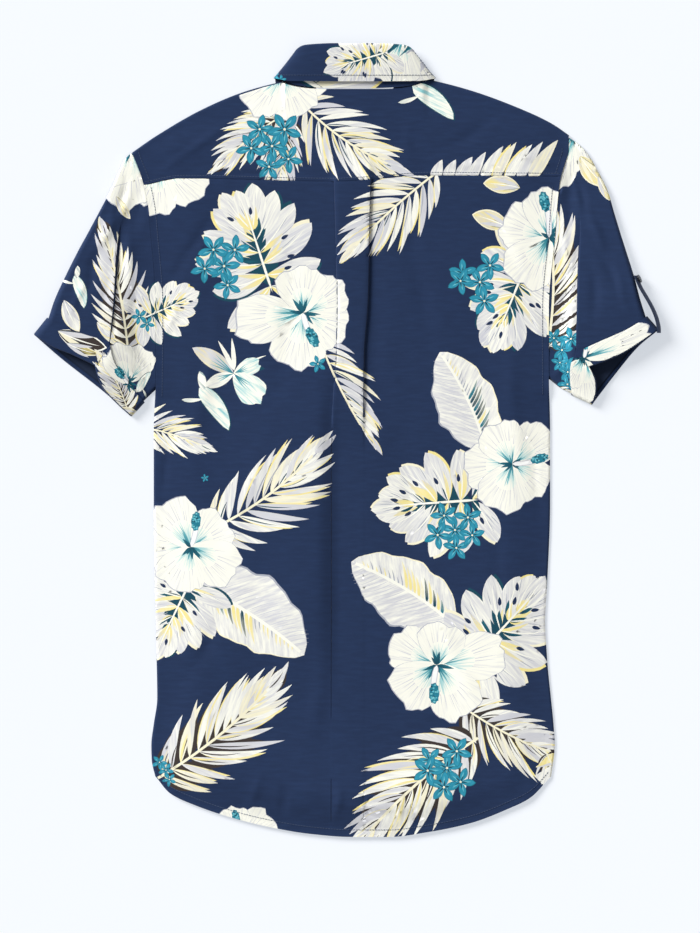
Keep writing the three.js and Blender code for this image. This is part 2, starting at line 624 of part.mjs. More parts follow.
// Sleeves and their cuffs.
// Every sleeve point comes from its place round the ring (near, then far) and its share of the length.
function sleeveForm(s) {
  const edgeX = s.side < 0 ? leftEdge : rightEdge;
  const outer = path(s.outer);
  const fold = path(s.fold);
  const under = path(s.under);
  const head = s.outer[0];
  const armpit = s.under[0];
  const armhole = (y) => edgeX(clamp(y, -328, 281)) + s.side * (seamGap / 2 + 0.05);
  const foldTop = s.fold[0];
  const bare = head.y > 281 ? 281 : 278.5; // above this the seam runs straight to the sleeve's head
  const parts = {};
  for (const ring of ['cuffTop', 'cuffFold']) {
    parts[ring] = { outer: path(s[ring].outer), inner: path(s[ring].inner), far: path(s[ring].far) };
  }
  const seamPoint = (from, to, t) => {
    const y = lerp(from.y, to.y, t);
    const x = y > bare ? lerp(armhole(bare), head.x, (y - bare) / (head.y - bare + 1e-6)) : armhole(y);
    return [x, y];
  };
  const coons = (u, v, a, b, top, low) => {
    const p00 = top(0);
    const p10 = top(1);
    const p01 = low(0);
    const p11 = low(1);
    return [0, 1].map((k) => (1 - u) * a(v)[k] + u * b(v)[k] + (1 - v) * top(u)[k] + v * low(u)[k]
      - ((1 - u) * (1 - v) * p00[k] + u * (1 - v) * p10[k] + (1 - u) * v * p01[k] + u * v * p11[k]));
  };
  const foldStart = (t) => seamPoint(head, { y: foldTop.y }, t);
  const foldLine = (v) => {
    const p = fold(v);
    const q = foldStart(1);
    const w = 1 - smooth(0, 0.12, v);
    return [lerp(p[0], q[0] + (p[0] - foldTop.x), w), p[1]];
  };
  // Loft of the sleeve: low at the armhole and underarm, high at the outer part of the cuff.
  const loft = (u, v, near) => {
    const across = near === 'outer' ? 1 : lerp(1, 0.28, smooth(0.1, 1, u));
    return lerp(2 * pitch, sleeveLoft * across, smooth(0.02, 0.8, v));
  };
  const rest = (v) => floorZ + cuffOut * smooth(0.45, 0.75, v);
  const lip = (ring, key, u, v, t) => {
    const p = parts.cuffTop[key](u);
    const q = parts.cuffFold[key](u);
    return [lerp(p[0], q[0], t), lerp(p[1], q[1], t)];
  };
  const split = 0.84; // share of the length where the cuff's upper edge lies
  const plan = (key, u, v) => {
    if (v > split) return lip('', key, u, v, (v - split) / (1 - split));
    const w = v / split;
    if (key === 'outer') return coons(u, w, outer, foldLine, foldStart, parts.cuffTop.outer);
    if (key === 'inner') {
      return coons(u, w, foldLine, under, (t) => seamPoint({ y: foldTop.y }, armpit, t), parts.cuffTop.inner);
    }
    return coons(u, w, outer, under, (t) => seamPoint(head, armpit, t), parts.cuffTop.far);
  };
  const rounded = (distance, reach) => {
    const t = clamp(distance / reach, 0, 1);
    return Math.sqrt(1 - (1 - t) ** 2);
  };
  // The far side meets the armhole seam at the same points as the near side.
  const seamLong = head.y - armpit.y;
  const sharedY = [...seamShares].slice(1, -1).reverse().map((u) => lerp(foldTop.y, armpit.y, u));
  const passedY = [...sharedY, foldTop.y, 273.5, 281].filter((y) => y < head.y - 3);
  const passed = passedY.map((y) => (head.y - y) / seamLong);
  const farShares = [1, 0.985, ...passed, 0.008];
  return { plan, loft, rest, rounded, split, farShares };
}

function sleeveNet(s, vs) {
  const form = sleeveForm(s);
  const nearOuter = [0, 0.012, 0.05, 0.13, 0.3, 0.5, 0.72, 0.9, 1];
  const nearInner = [...seamShares.slice(0, -1), 0.96];
  const farAcross = form.farShares;
  return vs.map((v) => {
    const row = [];
    const o0 = form.plan('outer', 0, v);
    const uEnd = form.plan('inner', 1, v);
    const span = (p, q) => Math.hypot(p[0] - q[0], p[1] - q[1]);
    const base = form.rest(v);
    const foldShare = smooth(s.foldFrom, s.foldFrom + 0.2, v) * (1 - smooth(0.72, 0.83, v));
    const drop = 2.4 * foldShare; // how far the inner part lies below the outer one
    const tuck = 5 * foldShare; // how far it runs under it
    for (const u of nearOuter) {
      const p = form.plan('outer', u, v);
      const high = form.loft(u, v, 'outer');
      const e = form.rounded(span(p, o0), high * 0.5);
      row.push([...p, base + high * (0.5 + 0.5 * e)]);
    }
    const edge = row[row.length - 1];
    const a0 = form.plan('inner', 0, v);
    const a1 = form.plan('inner', 0.1, v);
    const along = Math.hypot(a1[0] - a0[0], a1[1] - a0[1]);
    // Along the ring, from the outer part to the inner one.
    const dir = [0, 1].map((k) => (a1[k] - a0[k]) / along);
    const into = -s.side * foldShare; // across the fold, towards the body
    // The fold: round the outer part's edge and back under it.
    for (const a of [0.25, 0.5, 0.75, 1]) {
      const angle = Math.PI * a;
      row.push([
        edge[0] + into * 0.7 * Math.sin(angle) + dir[0] * 1.2 * a * (1 - foldShare),
        edge[1] + dir[1] * 1.2 * a * (1 - foldShare),
        edge[2] - (drop / 2) * ((1 - Math.cos(angle)) / 2),
      ]);
    }
    const back = row[row.length - 1];
    row.push([
      back[0] + s.side * tuck + dir[0] * 0.8 * (1 - foldShare),
      back[1] + dir[1] * 0.8 * (1 - foldShare),
      back[2],
    ]);
    const turnAt = row[row.length - 1];
    for (const a of [0.33, 0.67, 1]) {
      const angle = Math.PI * a;
      row.push([
        turnAt[0] - into * 0.7 * Math.sin(angle) + dir[0] * 1.2 * a * (1 - foldShare),
        turnAt[1] + dir[1] * 1.2 * a * (1 - foldShare),
        turnAt[2] - (drop / 2) * ((1 - Math.cos(angle)) / 2),
      ]);
    }
    const low = row[row.length - 1];
    for (const u of nearInner) {
      if (u === 0) continue;
      const p = form.plan('inner', u, v);
      const high = form.loft(u, v, 'inner');
      const e = form.rounded(span(p, uEnd), high * 0.5);
      const own = base + high * (0.5 + 0.5 * e);
      row.push([...p, lerp(low[2], own, smooth(0, 0.36, u))]);
    }
    for (const u of farAcross) {
      const p = form.plan('far', u, v);
      const highOuter = form.loft(0, v, 'outer');
      const highInner = form.loft(1, v, 'inner');
      const d0 = form.rounded(span(p, o0), highOuter * 0.5);
      const d1 = form.rounded(span(p, uEnd), highInner * 0.5);
      const z = base + Math.max(highOuter * (0.5 - 0.5 * d0), highInner * (0.5 - 0.5 * d1));
      row.push([...p, z]);
    }
    return row;
  });
}

// Net moved along its own normals, as for a cuff that lies on a sleeve.
function moved(net, by) {
  const rows = net.length;
  const cols = net[0].length;
  const at = (i, j) => new THREE.Vector3(...net[clamp(i, 0, rows - 1)][(j + cols) % cols]);
  return net.map((row, i) => row.map((p, j) => {
    const down = at(i + 1, j).sub(at(i - 1, j));
    const round = at(i, j + 1).sub(at(i, j - 1));
    const n = round.cross(down).normalize();
    return [p[0] + n.x * by, p[1] + n.y * by, Math.max(floorZ, p[2] + n.z * by)];
  }));
}

function sleeve(name, s) {
  const vs = [0, 0.07, 0.15, 0.23, 0.31, 0.39, 0.48, 0.58, 0.68, 0.77, 0.84, 0.9, 0.965];
  return wall(name, sleeveNet(s, vs), { ring: true });
}

function cuff(name, s) {
  const vs = [0.84, 0.9, 0.965, 0.995];
  const base = sleeveNet(s, [...vs, 1.0]);
  const outward = s.side < 0 ? -1 : 1;
  const skin = moved(base, outward * cuffOut);
  const half = moved(base, outward * cuffOut * 0.5);
  const net = skin.slice(0, 4);
  const last = base.length - 1;
  const reach = base[last].map((p, j) => {
    const q = base[last - 2][j];
    const d = Math.hypot(p[0] - q[0], p[1] - q[1], p[2] - q[2]) || 1;
    return [(p[0] - q[0]) / d, (p[1] - q[1]) / d, (p[2] - q[2]) / d];
  });
  for (const a of [0.25, 0.5, 0.75]) {
    const angle = Math.PI * a;
    net.push(half[last - 1].map((p, j) => {
      const o = [0, 1, 2].map((k) => (skin[last - 1][j][k] - half[last - 1][j][k]) * Math.cos(angle));
      return [0, 1, 2].map((k) => p[k] + o[k] + reach[j][k] * (cuffOut / 2) * Math.sin(angle));
    }));
  }
  net.push(base[last - 1]);
  net.push(sleeveNet(s, [0.976])[0]);
  return wall(name, net, { ring: true });
}

// Collar.
function collarStations() {
  const left = collar.map((c) => ({ ...c }));
  const right = collar.map((c) => ({ ...c }));
  const make = (rows, side) => rows.map((c, i) => {
    const end = i === rows.length - 1;
    const lapLift = side > 0 ? smooth(8, 11, i) * pitch : 0;
    return {
      neck: [centreX + side * c.neckX, c.neckY, c.neckZ + (end ? lapLift : lapLift * 0.6)],
      fold: [centreX + side * c.foldX, c.foldY, c.foldZ + lapLift],
      edge: [centreX + side * c.edgeX, c.edgeY, c.edgeZ],
      out: [side * c.outX, 0, c.outZ],
      front: c.outZ < -0.9,
    };
  });
  return [...make(left, -1).reverse(), ...make(right, 1).slice(1)];
}
const sub = (a, b) => a.map((v, k) => v - b[k]);
const mix = (a, b, t) => a.map((v, k) => lerp(v, b[k], t));
const unit = (a) => {
  const d = Math.hypot(...a) || 1;
  return a.map((v) => v / d);
};
const shifted = (a, d, t) => a.map((v, k) => v + d[k] * t);

function standWall() {
  const st = collarStations();
  const first = st[0];
  const last = st[st.length - 1];
  const ends = (s, dir) => {
    const z = s.neck[2];
    return {
      neck: [centreX + dir * standLap, neckCurve(standLap), z],
      fold: [centreX + dir * (standLap - 3), s.fold[1] - 4, s.fold[2]],
    };
  };
  const all = [ends(first, 1), ...st, ends(last, -1)];
  return wall('collar_stand', [0, 0.33, 0.67, 0.98].map((t) => all.map((s) => {
    const up = unit(sub(s.fold, s.neck));
    const from = shifted(s.neck, up, 2.5 * seamGap);
    return mix(from, s.fold, t);
  })));
}

function leafWall() {
  const st = collarStations();
  const net = [];
  const section = (s) => {
    const up = unit(sub(s.fold, s.neck));
    const out = unit(s.out);
    const radius = s.front ? (s.fold[2] - floorZ) / 2 : 1.15;
    const start = shifted(s.fold, up, 3.5 * seamGap);
    const points = [];
    for (let k = 0; k <= 6; k += 1) {
      const a = (Math.PI * k) / 6;
      points.push(shifted(shifted(start, out, radius * (1 - Math.cos(a))), up, radius * Math.sin(a)));
    }
    const over = points[points.length - 1];
    for (const t of [0.25, 0.55, 0.85, 1]) {
      const p = mix(over, s.edge, t);
      points.push(p);
    }
    return points;
  };
  const columns = st.map(section);
  for (let i = 0; i < columns[0].length; i += 1) net.push(columns.map((c) => c[i]));
  return wall('collar_leaf', net);
}

// Tab and buttons.
function tabWall() {
  const along = path(tabPath);
  const net = [];
  for (const t of [0, 0.14, 0.28, 0.42, 0.56, 0.7, 0.84, 0.93, 1]) {
    const [x, y] = along(t);
    const lean = 3.2;
    net.push([0, 0.33, 0.67, 1].map((h) => [x + 0.6 - lean * h * h, y, 0.6 + h * tabHigh]));
  }
  return wall('roll_tab', net);
}

const buttonProfile = [
  { r: 4.6, z: 0 },
  { r: 5.4, z: 0.5 },
  { r: 5.5, z: 1.4 },
  { r: 4.7, z: 2.0 },
  { r: 3.8, z: 1.6 },
];
function frontButton(name, y) {
  // The face with the well looks down, away from the cloth.
  const scale = buttonRadius / 5.5;
  const down = (z) => buttonHigh - (z * buttonHigh) / 2;
  const profile = buttonProfile.map((p) => ({ r: p.r * scale, z: down(p.z) })).reverse();
  const button = turned(name, profile, 18);
  button.position.set(centreX, y, 0);
  return button;
}
function tabButton(name) {
  const out = new THREE.Vector3(0.9, 0.42, 0.22).normalize();
  const side = new THREE.Vector3(-0.42, 0.9, 0).normalize();
  const up = out.clone().cross(side).normalize();
  const scale = tabButtonRadius / 5.5;
  const button = turned(name, buttonProfile.map((p) => ({ r: p.r * scale, z: p.z * 0.7 })), 16);
  button.setRotationFromMatrix(new THREE.Matrix4().makeBasis(up.clone().cross(out).normalize(), up, out));
  button.position.set(284.5, 157.25, 7);
  return button;
}

// Whole shirt.
const body = new THREE.Group();
body.add(wall('back', backPanel()), yokePanel());
body.add(frontPanel('left_front', -1), frontPanel('right_front', 1));
const leftArm = new THREE.Group();
leftArm.add(sleeve('left_sleeve', leftSleeve), cuff('left_cuff', leftSleeve));
const rightArm = new THREE.Group();
rightArm.add(sleeve('right_sleeve', rightSleeve), cuff('right_cuff', rightSleeve));
rightArm.add(tabWall(), tabButton('tab_button'));
const neck = new THREE.Group();
neck.add(standWall(), leafWall(), frontButton('collar_button', 284));
const closing = new THREE.Group();
const buttonY = [240, 152, 64, -24, -112, -200, -288];
buttonY.forEach((y, i) => closing.add(frontButton(`front_button_${i + 1}`, y)));

const shirt = new THREE.Group();
shirt.name = 'hawaiian_shirt';
shirt.add(body, leftArm, rightArm, neck, closing);
export default shirt;
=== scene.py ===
import json
import math
import random
from bisect import bisect_right

import bpy
import numpy as np
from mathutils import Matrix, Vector
from mathutils.geometry import delaunay_2d_cdt
from mathutils.kdtree import KDTree

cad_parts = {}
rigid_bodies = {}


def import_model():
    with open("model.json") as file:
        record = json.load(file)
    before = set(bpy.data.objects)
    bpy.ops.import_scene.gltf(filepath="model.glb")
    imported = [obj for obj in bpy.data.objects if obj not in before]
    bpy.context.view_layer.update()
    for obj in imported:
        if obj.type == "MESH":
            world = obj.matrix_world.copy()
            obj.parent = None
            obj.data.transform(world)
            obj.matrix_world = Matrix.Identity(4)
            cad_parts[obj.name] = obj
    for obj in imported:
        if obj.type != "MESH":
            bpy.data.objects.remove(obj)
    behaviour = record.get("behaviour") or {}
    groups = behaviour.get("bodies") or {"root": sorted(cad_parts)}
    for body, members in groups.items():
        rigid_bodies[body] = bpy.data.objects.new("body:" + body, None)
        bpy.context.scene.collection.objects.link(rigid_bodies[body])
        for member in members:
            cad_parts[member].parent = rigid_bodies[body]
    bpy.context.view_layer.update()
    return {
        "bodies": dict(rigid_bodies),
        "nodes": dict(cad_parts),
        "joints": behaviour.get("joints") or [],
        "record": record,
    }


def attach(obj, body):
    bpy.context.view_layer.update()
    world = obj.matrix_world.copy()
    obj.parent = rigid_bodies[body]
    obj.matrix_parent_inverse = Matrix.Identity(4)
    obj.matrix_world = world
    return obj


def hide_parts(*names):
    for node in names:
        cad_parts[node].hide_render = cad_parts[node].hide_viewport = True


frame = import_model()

# Sizes in millimetres, as in the solids.
cloth = 0.9
gap = 0.3
pitch = 1.3
floorZ = 0.5
centreX = 7
armpitY = 50
lapHalf = 15
buttonHigh = 2.0
buttonRadius = 5.5
lapZ = buttonHigh + gap + 0.5
bodyZ = 4.9
armholeZ = floorZ + 2 * pitch
sideZ = floorZ + pitch
hemZ = 3.2
yokeWrap = 25
frontTail = 24
pleatCentre = 5
pleatDepth = 15
bend = pitch / 2
cuffOut = 1.7
sleeveLoft = 9.5
tabHigh = 13
neckHalf = 69
neckBack = 342.6
neckFront = 268
standLap = 14


def table(columns, rows):
    keys = columns.split()
    return [dict(zip(keys, row)) for row in rows]


def lerp(a, b, t):
    return a + (b - a) * t


def clamp(v, lo, hi):
    return min(hi, max(lo, v))


def smooth(start, end, v):
    t = clamp((v - start) / (end - start), 0, 1)
    return t * t * (3 - 2 * t)


def column(rows, key, name):
    ordered = sorted(rows, key=lambda r: r[key])
    xs = [r[key] for r in ordered]
    ys = [r[name] for r in ordered]
    steps = [(ys[i + 1] - ys[i]) / (xs[i + 1] - xs[i]) for i in range(len(xs) - 1)]
    slopes = [steps[0]]
    for a, b in zip(steps, steps[1:]):
        slopes.append(0 if a * b <= 0 else 2 * a * b / (a + b))
    slopes.append(steps[-1])

    def at(x):
        if x <= xs[0]:
            return ys[0] + slopes[0] * (x - xs[0])
        if x >= xs[-1]:
            return ys[-1] + slopes[-1] * (x - xs[-1])
        i = bisect_right(xs, x) - 1
        h = xs[i + 1] - xs[i]
        t = (x - xs[i]) / h
        low = (2 * t**3 - 3 * t**2 + 1) * ys[i] + (t**3 - 2 * t**2 + t) * h * slopes[i]
        return low + (3 * t**2 - 2 * t**3) * ys[i + 1] + (t**3 - t**2) * h * slopes[i + 1]

    return at


# Point at a share of the length of a smooth curve through a row of points.
def path(points):
    pts = [np.array(p, float) for p in points]
    pts = [2 * pts[0] - pts[1], *pts, 2 * pts[-1] - pts[-2]]
    line = []
    for k in range(1, len(pts) - 2):
        p0, p1, p2, p3 = pts[k - 1 : k + 3]
        d0, d1, d2 = (max(np.linalg.norm(b - a) ** 0.5, 1e-6) for a, b in ((p0, p1), (p1, p2), (p2, p3)))
        t1 = ((p1 - p0) / d0 - (p2 - p0) / (d0 + d1) + (p2 - p1) / d1) * d1
        t2 = ((p2 - p1) / d1 - (p3 - p1) / (d1 + d2) + (p3 - p2) / d2) * d1
        for t in np.linspace(0, 1, 24, endpoint=False):
            a = (2 * t**3 - 3 * t**2 + 1) * p1 + (t**3 - 2 * t**2 + t) * t1
            line.append(a + (3 * t**2 - 2 * t**3) * p2 + (t**3 - t**2) * t2)
    line.append(pts[-2])
    line = np.array(line)
    long = np.concatenate([[0], np.cumsum(np.linalg.norm(np.diff(line, axis=0), axis=1))])

    def at(share):
        s = clamp(share, 0, 1) * long[-1]
        return [float(np.interp(s, long, line[:, k])) for k in range(2)]

    return at


# Colours of the print, as seen on a screen.
inks = {
    "navy": (24, 44, 79),
    "navyLight": (30, 52, 90),
    "inside": (27, 41, 66),
    "ivory": (253, 252, 239),
    "white": (252, 252, 250),
    "lilac": (205, 206, 214),
    "grey": (214, 214, 217),
    "greyDark": (168, 172, 184),
    "yellow": (246, 230, 152),
    "cream": (248, 242, 212),
    "aqua": (122, 200, 206),
    "teal": (28, 116, 134),
    "tealDark": (14, 70, 88),
    "blue": (44, 148, 176),
    "blueLight": (104, 190, 204),
    "brown": (58, 50, 47),
    "thread": (74, 88, 116),
}


def linear(name):
    out = []
    for v in inks[name]:
        c = v / 255
        out.append(c / 12.92 if c <= 0.04045 else ((c + 0.055) / 1.055) ** 2.4)
    return (*out, 1.0)


# Body edges, tables as in the solids.
sides = table(
    "y left right",
    [
        (281, -210.6, 216.0), (250, -199.3, 207.2), (225, -194.2, 204.6), (204, -192.3, 203.2),
        (129, -186.9, 196.7), (50, -187.4, 196.8), (10, -188.9, 197.6), (-60, -188.9, 197.6),
        (-141, -187.9, 194.7), (-176, -186.9, 192.8), (-214, -186.1, 194.7), (-252, -185.5, 198.4),
        (-277, -188.9, 200.9), (-298, -191.3, 202.2), (-313, -190.8, 200.8), (-328, -187.5, 198.7),
    ],
)
hem = table(
    "x y",
    [
        (-187.5, -328), (-173, -345), (-150, -356), (-115, -368), (-75, -378), (-36, -384.5), (3, -387.4),
        (41, -387.4), (80, -382.5), (120, -374), (158, -359.5), (178, -349.5), (198.7, -328),
    ],
)
yokeSeam = table("x y",
    [(-199.5, 249), (-162, 255.7), (-12, 252.8), (23, 254.7), (80, 258.6), (207.4, 257.7)])
shoulder = table(
    "x y",
    [
        (-211, 279.5), (-186, 296.7), (-142, 322.1), (-103, 338.7), (-72, 347.4), (-62, 349.4), (76, 351.6),
        (87, 349.6), (124, 339.6), (173, 321.1), (199, 308.6), (218, 295.6),
    ],
)
pleat = table(
    "y left right folded",
    [
        (256, -13, 23, 1), (195, -11.2, 21.5, 0.95), (134, -10.2, 20.0, 0.8), (82, -11.2, 16.2, 0.55),
        (39, -14, 16.0, 0.22), (12, -15, 16.0, 0.06), (-12, -16, 16.0, 0),
    ],
)
softFolds = table(
    "x fromY toY wide depth",
    [
        (26, 215, 20, 9, -0.9), (24, 40, -160, 16, 0.6), (-120, 210, -40, 26, -1.0),
        (132, 190, -120, 24, -1.0), (-84, -90, -330, 22, -0.9), (96, -170, -350, 22, -0.8),
    ],
)
collar = table(
    "neckX neckY neckZ foldX foldY foldZ edgeX edgeY edgeZ outX outZ",
    [
        (0, 343, 5.9, 0, 384.63, 10.2, 0, 350.2, 9.6, 0, 1),
        (24, 343.3, 5.8, 24, 384.73, 10.2, 26, 350.2, 9.6, 0, 1),
        (44, 344.4, 5.3, 43, 383.7, 9.7, 50, 350.4, 9.0, 0.1, 1),
        (57, 346.2, 4.9, 51, 382.4, 8.6, 66, 350.8, 7.9, 0.4, 0.9),
        (64, 348.6, 4.6, 55, 379.6, 7.2, 75.2, 352.4, 6.2, 0.8, 0.6),
        (67, 350, 3.6, 56.4, 377, 5.6, 78.6, 352.8, 4.1, 1, 0),
        (66.4, 349, 2.5, 55.4, 373.8, 4.0, 78.6, 352.8, 1.9, 0.8, -0.6),
        (65.4, 343, 1.9, 53.2, 369.6, 3.1, 77.6, 351.6, 0.5, 0.3, -0.95),
        (62, 327, 1.8, 47, 355, 2.8, 74, 325, 0.5, 0, -1),
        (48, 299, 1.8, 33, 332, 2.8, 66, 290, 0.5, 0, -1),
        (27, 277.5, 1.8, 17, 312, 2.8, 56, 260, 0.5, 0, -1),
        (3, 268.2, 2.8, 3, 300, 2.8, 46, 242, 0.5, 0, -1),
    ],
)
leftSleeve = {
    "side": -1,
    "outer": [
        (-211.6, 279.6), (-217.2, 273.3), (-222, 263.5), (-230.8, 244), (-251.3, 205), (-263, 183.5),
        (-274.7, 160.1), (-285.5, 136.6), (-291.6, 118.2),
    ],
    "fold": [(-206.5, 266), (-214, 236), (-223, 204), (-229, 129), (-232.5, 96)],
    "under": [(-187.8, 49.2), (-199.4, 38.2)],
    "cuffTop": {
        "outer": [(-291.6, 118.2), (-275.5, 109.4), (-258.5, 103.6), (-232.5, 96)],
        "inner": [(-232.5, 96), (-228, 76), (-214.5, 57), (-199.4, 38.2)],
        "far": [(-291.6, 118.2), (-266, 96), (-226, 63), (-199.4, 38.2)],
    },
    "cuffFold": {
        "outer": [(-304.4, 102.2), (-287.3, 91.2), (-269, 83.8), (-246.8, 73.2)],
        "inner": [(-246.8, 73.2), (-239.4, 52), (-224, 35), (-212, 24.4)],
        "far": [(-304.4, 102.2), (-279.4, 80.4), (-236.3, 46.6), (-212, 24.4)],
    },
    "foldFrom": 0.24,
}
rightSleeve = {
    "side": 1,
    "outer": [
        (216.5, 294.4), (224.4, 289.2), (231.6, 282.4), (237.4, 274), (243.8, 262.5), (253.3, 244),
        (259.1, 224.5), (265, 205), (271.8, 183.5), (279.2, 160.1), (285, 138), (290.8, 119.6),
    ],
    "fold": [(214.5, 268), (222, 240), (227.4, 217), (226, 160), (223.6, 86)],
    "under": [(197.3, 59.6), (209, 50.6), (219, 45.6)],
    "cuffTop": {
        "outer": [(290.8, 119.6), (274.7, 109), (245, 95.6), (223.6, 86)],
        "inner": [(223.6, 86), (218.4, 75), (217.4, 60), (219, 45.6)],
        "far": [(290.8, 119.6), (268, 96), (240, 66), (219, 45.6)],
    },
    "cuffFold": {
        "outer": [(301.8, 107.0), (287, 96.6), (267.6, 84.4), (235.6, 71.4)],
        "inner": [(235.6, 71.4), (242, 60), (242.6, 46), (239.2, 36.2)],
        "far": [(301.8, 107.0), (283, 91.4), (262.6, 67), (239.2, 36.2)],
    },
    "foldFrom": 0.2,
}
tabPath = [(282.3, 160.4), (286.8, 149.6), (292, 140.6), (298, 130), (302.6, 119), (304.7, 110),
    (304.9, 104.5)]

leftEdgeRaw = column(sides, "y", "left")
rightEdgeRaw = column(sides, "y", "right")
hemY = column(hem, "x", "y")
seamY = column(yokeSeam, "x", "y")
shoulderY = column(shoulder, "x", "y")
pleatLeft = column(pleat, "y", "left")
pleatRight = column(pleat, "y", "right")
pleatFolded = column(pleat, "y", "folded")


def leftEdge(y):
    return leftEdgeRaw(clamp(y, -328, 281))


def rightEdge(y):
    return rightEdgeRaw(clamp(y, -328, 281))


# Main creases, each a soft trough or ridge along a line.
def creased(net, rows):
    x = net[..., 0]
    y = net[..., 1]
    for k, r in enumerate(rows):
        turn = math.radians(r["turn"])
        along = (x - r["x"]) * math.cos(turn) + (y - r["y"]) * math.sin(turn)
        across = (y - r["y"]) * math.cos(turn) - (x - r["x"]) * math.sin(turn)
        across = across + r["wide"] * 0.5 * np.sin(along / r["long"] * 3.1 + k)
        reach = np.clip(1 - np.abs(along) / r["long"], 0, 1)
        fade = reach * reach * (3 - 2 * reach)
        net[..., 2] += 2.2 * r["depth"] * fade * (1 + 0.25 * np.sin(along * 0.11 + k)) * np.exp(-((across / r["wide"]) ** 2))
    return net


backCreases = table(
    "x y turn long wide depth",
    [
        (-150, 190, 62, 60, 5, -0.5), (-138, 60, 80, 90, 7, 0.5), (-60, 120, 84, 110, 9, -0.45),
        (70, 150, 95, 100, 8, -0.4), (150, 200, 112, 60, 5, -0.45), (165, 30, 98, 90, 7, 0.4),
        (-100, -60, 78, 80, 8, 0.45), (60, -60, 100, 90, 9, -0.4), (-140, -200, 60, 70, 7, -0.45),
        (-30, -250, 75, 80, 8, 0.4), (110, -220, 108, 80, 8, 0.45), (150, -130, 96, 60, 6, -0.35),
        (-90, -345, 82, 28, 3.5, 0.5), (-62, -352, 96, 24, 3, -0.45), (-10, -352, 88, 24, 3.4, 0.45),
        (18, -356, 100, 22, 3, -0.4), (52, -352, 84, 26, 3.2, 0.4), (95, -346, 104, 24, 3.5, -0.4),
        (-95, -349, -14, 70, 4, -0.5), (15, -364, -2, 80, 4, -0.5), (-40, -341, -9, 60, 4, 0.35),
        (-172, 120, 70, 30, 3, 0.4),
        (186, 110, 108, 34, 3, 0.4), (-176, -20, 80, 40, 3, -0.35), (184, -40, 98, 44, 3, -0.35),
    ],
)


def backZ(x, y):
    side = min(x - leftEdge(y), rightEdge(y) - x)
    rise = y - hemY(clamp(x, -187, 198))
    edge = lerp(sideZ, armholeZ, smooth(armpitY - 14, armpitY + 2, y))
    plain = lerp(edge, bodyZ, smooth(0, 46, side))
    middle = 0.8 * math.exp(-(((x - centreX) / 34) ** 2))
    soft = 0
    for f in softFolds:
        along = smooth(f["toY"], f["toY"] + 60, y) * (1 - smooth(f["fromY"] - 60, f["fromY"], y))
        soft += f["depth"] * along * math.exp(-(((x - f["x"]) / f["wide"]) ** 2))
    inside = plain + middle + soft * smooth(8, 40, side)
    # Left of the middle the cloth rises slowly and drops again in one step below the pleat.
    swell = smooth(-150, -36, x) * (1 - smooth(-30, -8, x))
    inside += 4.8 * swell * smooth(-265, -150, y) * (1 - smooth(5, 95, y))
    # The tail bends down in an arc above the hem.
    inside += 2.6 * (1 - smooth(34, 95, rise)) * smooth(-186, -130, x) * (1 - smooth(70, 150, x))
    return lerp(min(inside, hemZ), inside, smooth(5, 32, rise))


def overLeaf(x, y):
    across = 1 - smooth(84, 100, abs(x - centreX))
    return pitch * across * smooth(190, 216, y)


def lapShare(y):
    return smooth(-338, -304, y)


def leftFrontZ(x, y):
    rise = (lapZ - floorZ) * lapShare(y) * smooth(centreX - lapHalf - 18, centreX - lapHalf - 1, x)
    return floorZ + max(rise, overLeaf(x, y))


def rightFrontZ(x, y):
    high = lerp(floorZ + pitch, lapZ + pitch, lapShare(y)) - floorZ
    rise = high * (1 - smooth(centreX + lapHalf + 3, centreX + lapHalf + 30, x))
    return floorZ + max(rise, overLeaf(x, y))


# One folded edge of the pleat, as steps across and up.
def foldSteps(share):
    turn = math.pi * clamp(share / 0.25, 0.02, 1)
    under = pleatDepth * clamp((share - 0.25) / 0.75, 0, 1)
    radius = max(bend, 1.7 / turn)
    n = 4
    steps = [(radius * math.sin(turn * k / n), radius * (1 - math.cos(turn * k / n))) for k in range(n + 1)]
    x1, z1 = steps[n]
    x2 = x1 + under * math.cos(turn)
    z2 = z1 + under * math.sin(turn)
    for k in range(n + 1):
        a = turn * k / n
        dx = radius * (math.sin(turn) - math.sin(turn - a))
        dz = radius * (math.cos(turn - a) - math.cos(turn))
        if k > 0 or under > 0.01:
            steps.append((x2 + dx, z2 + dz))
        else:
            steps.append((x1 + 0.001, z1))
    return steps, radius, turn


def spread(*parts):
    out = []
    for start, end, count in parts:
        out.extend(np.linspace(start, end, count, endpoint=False))
    return [*out, parts[-1][1]]


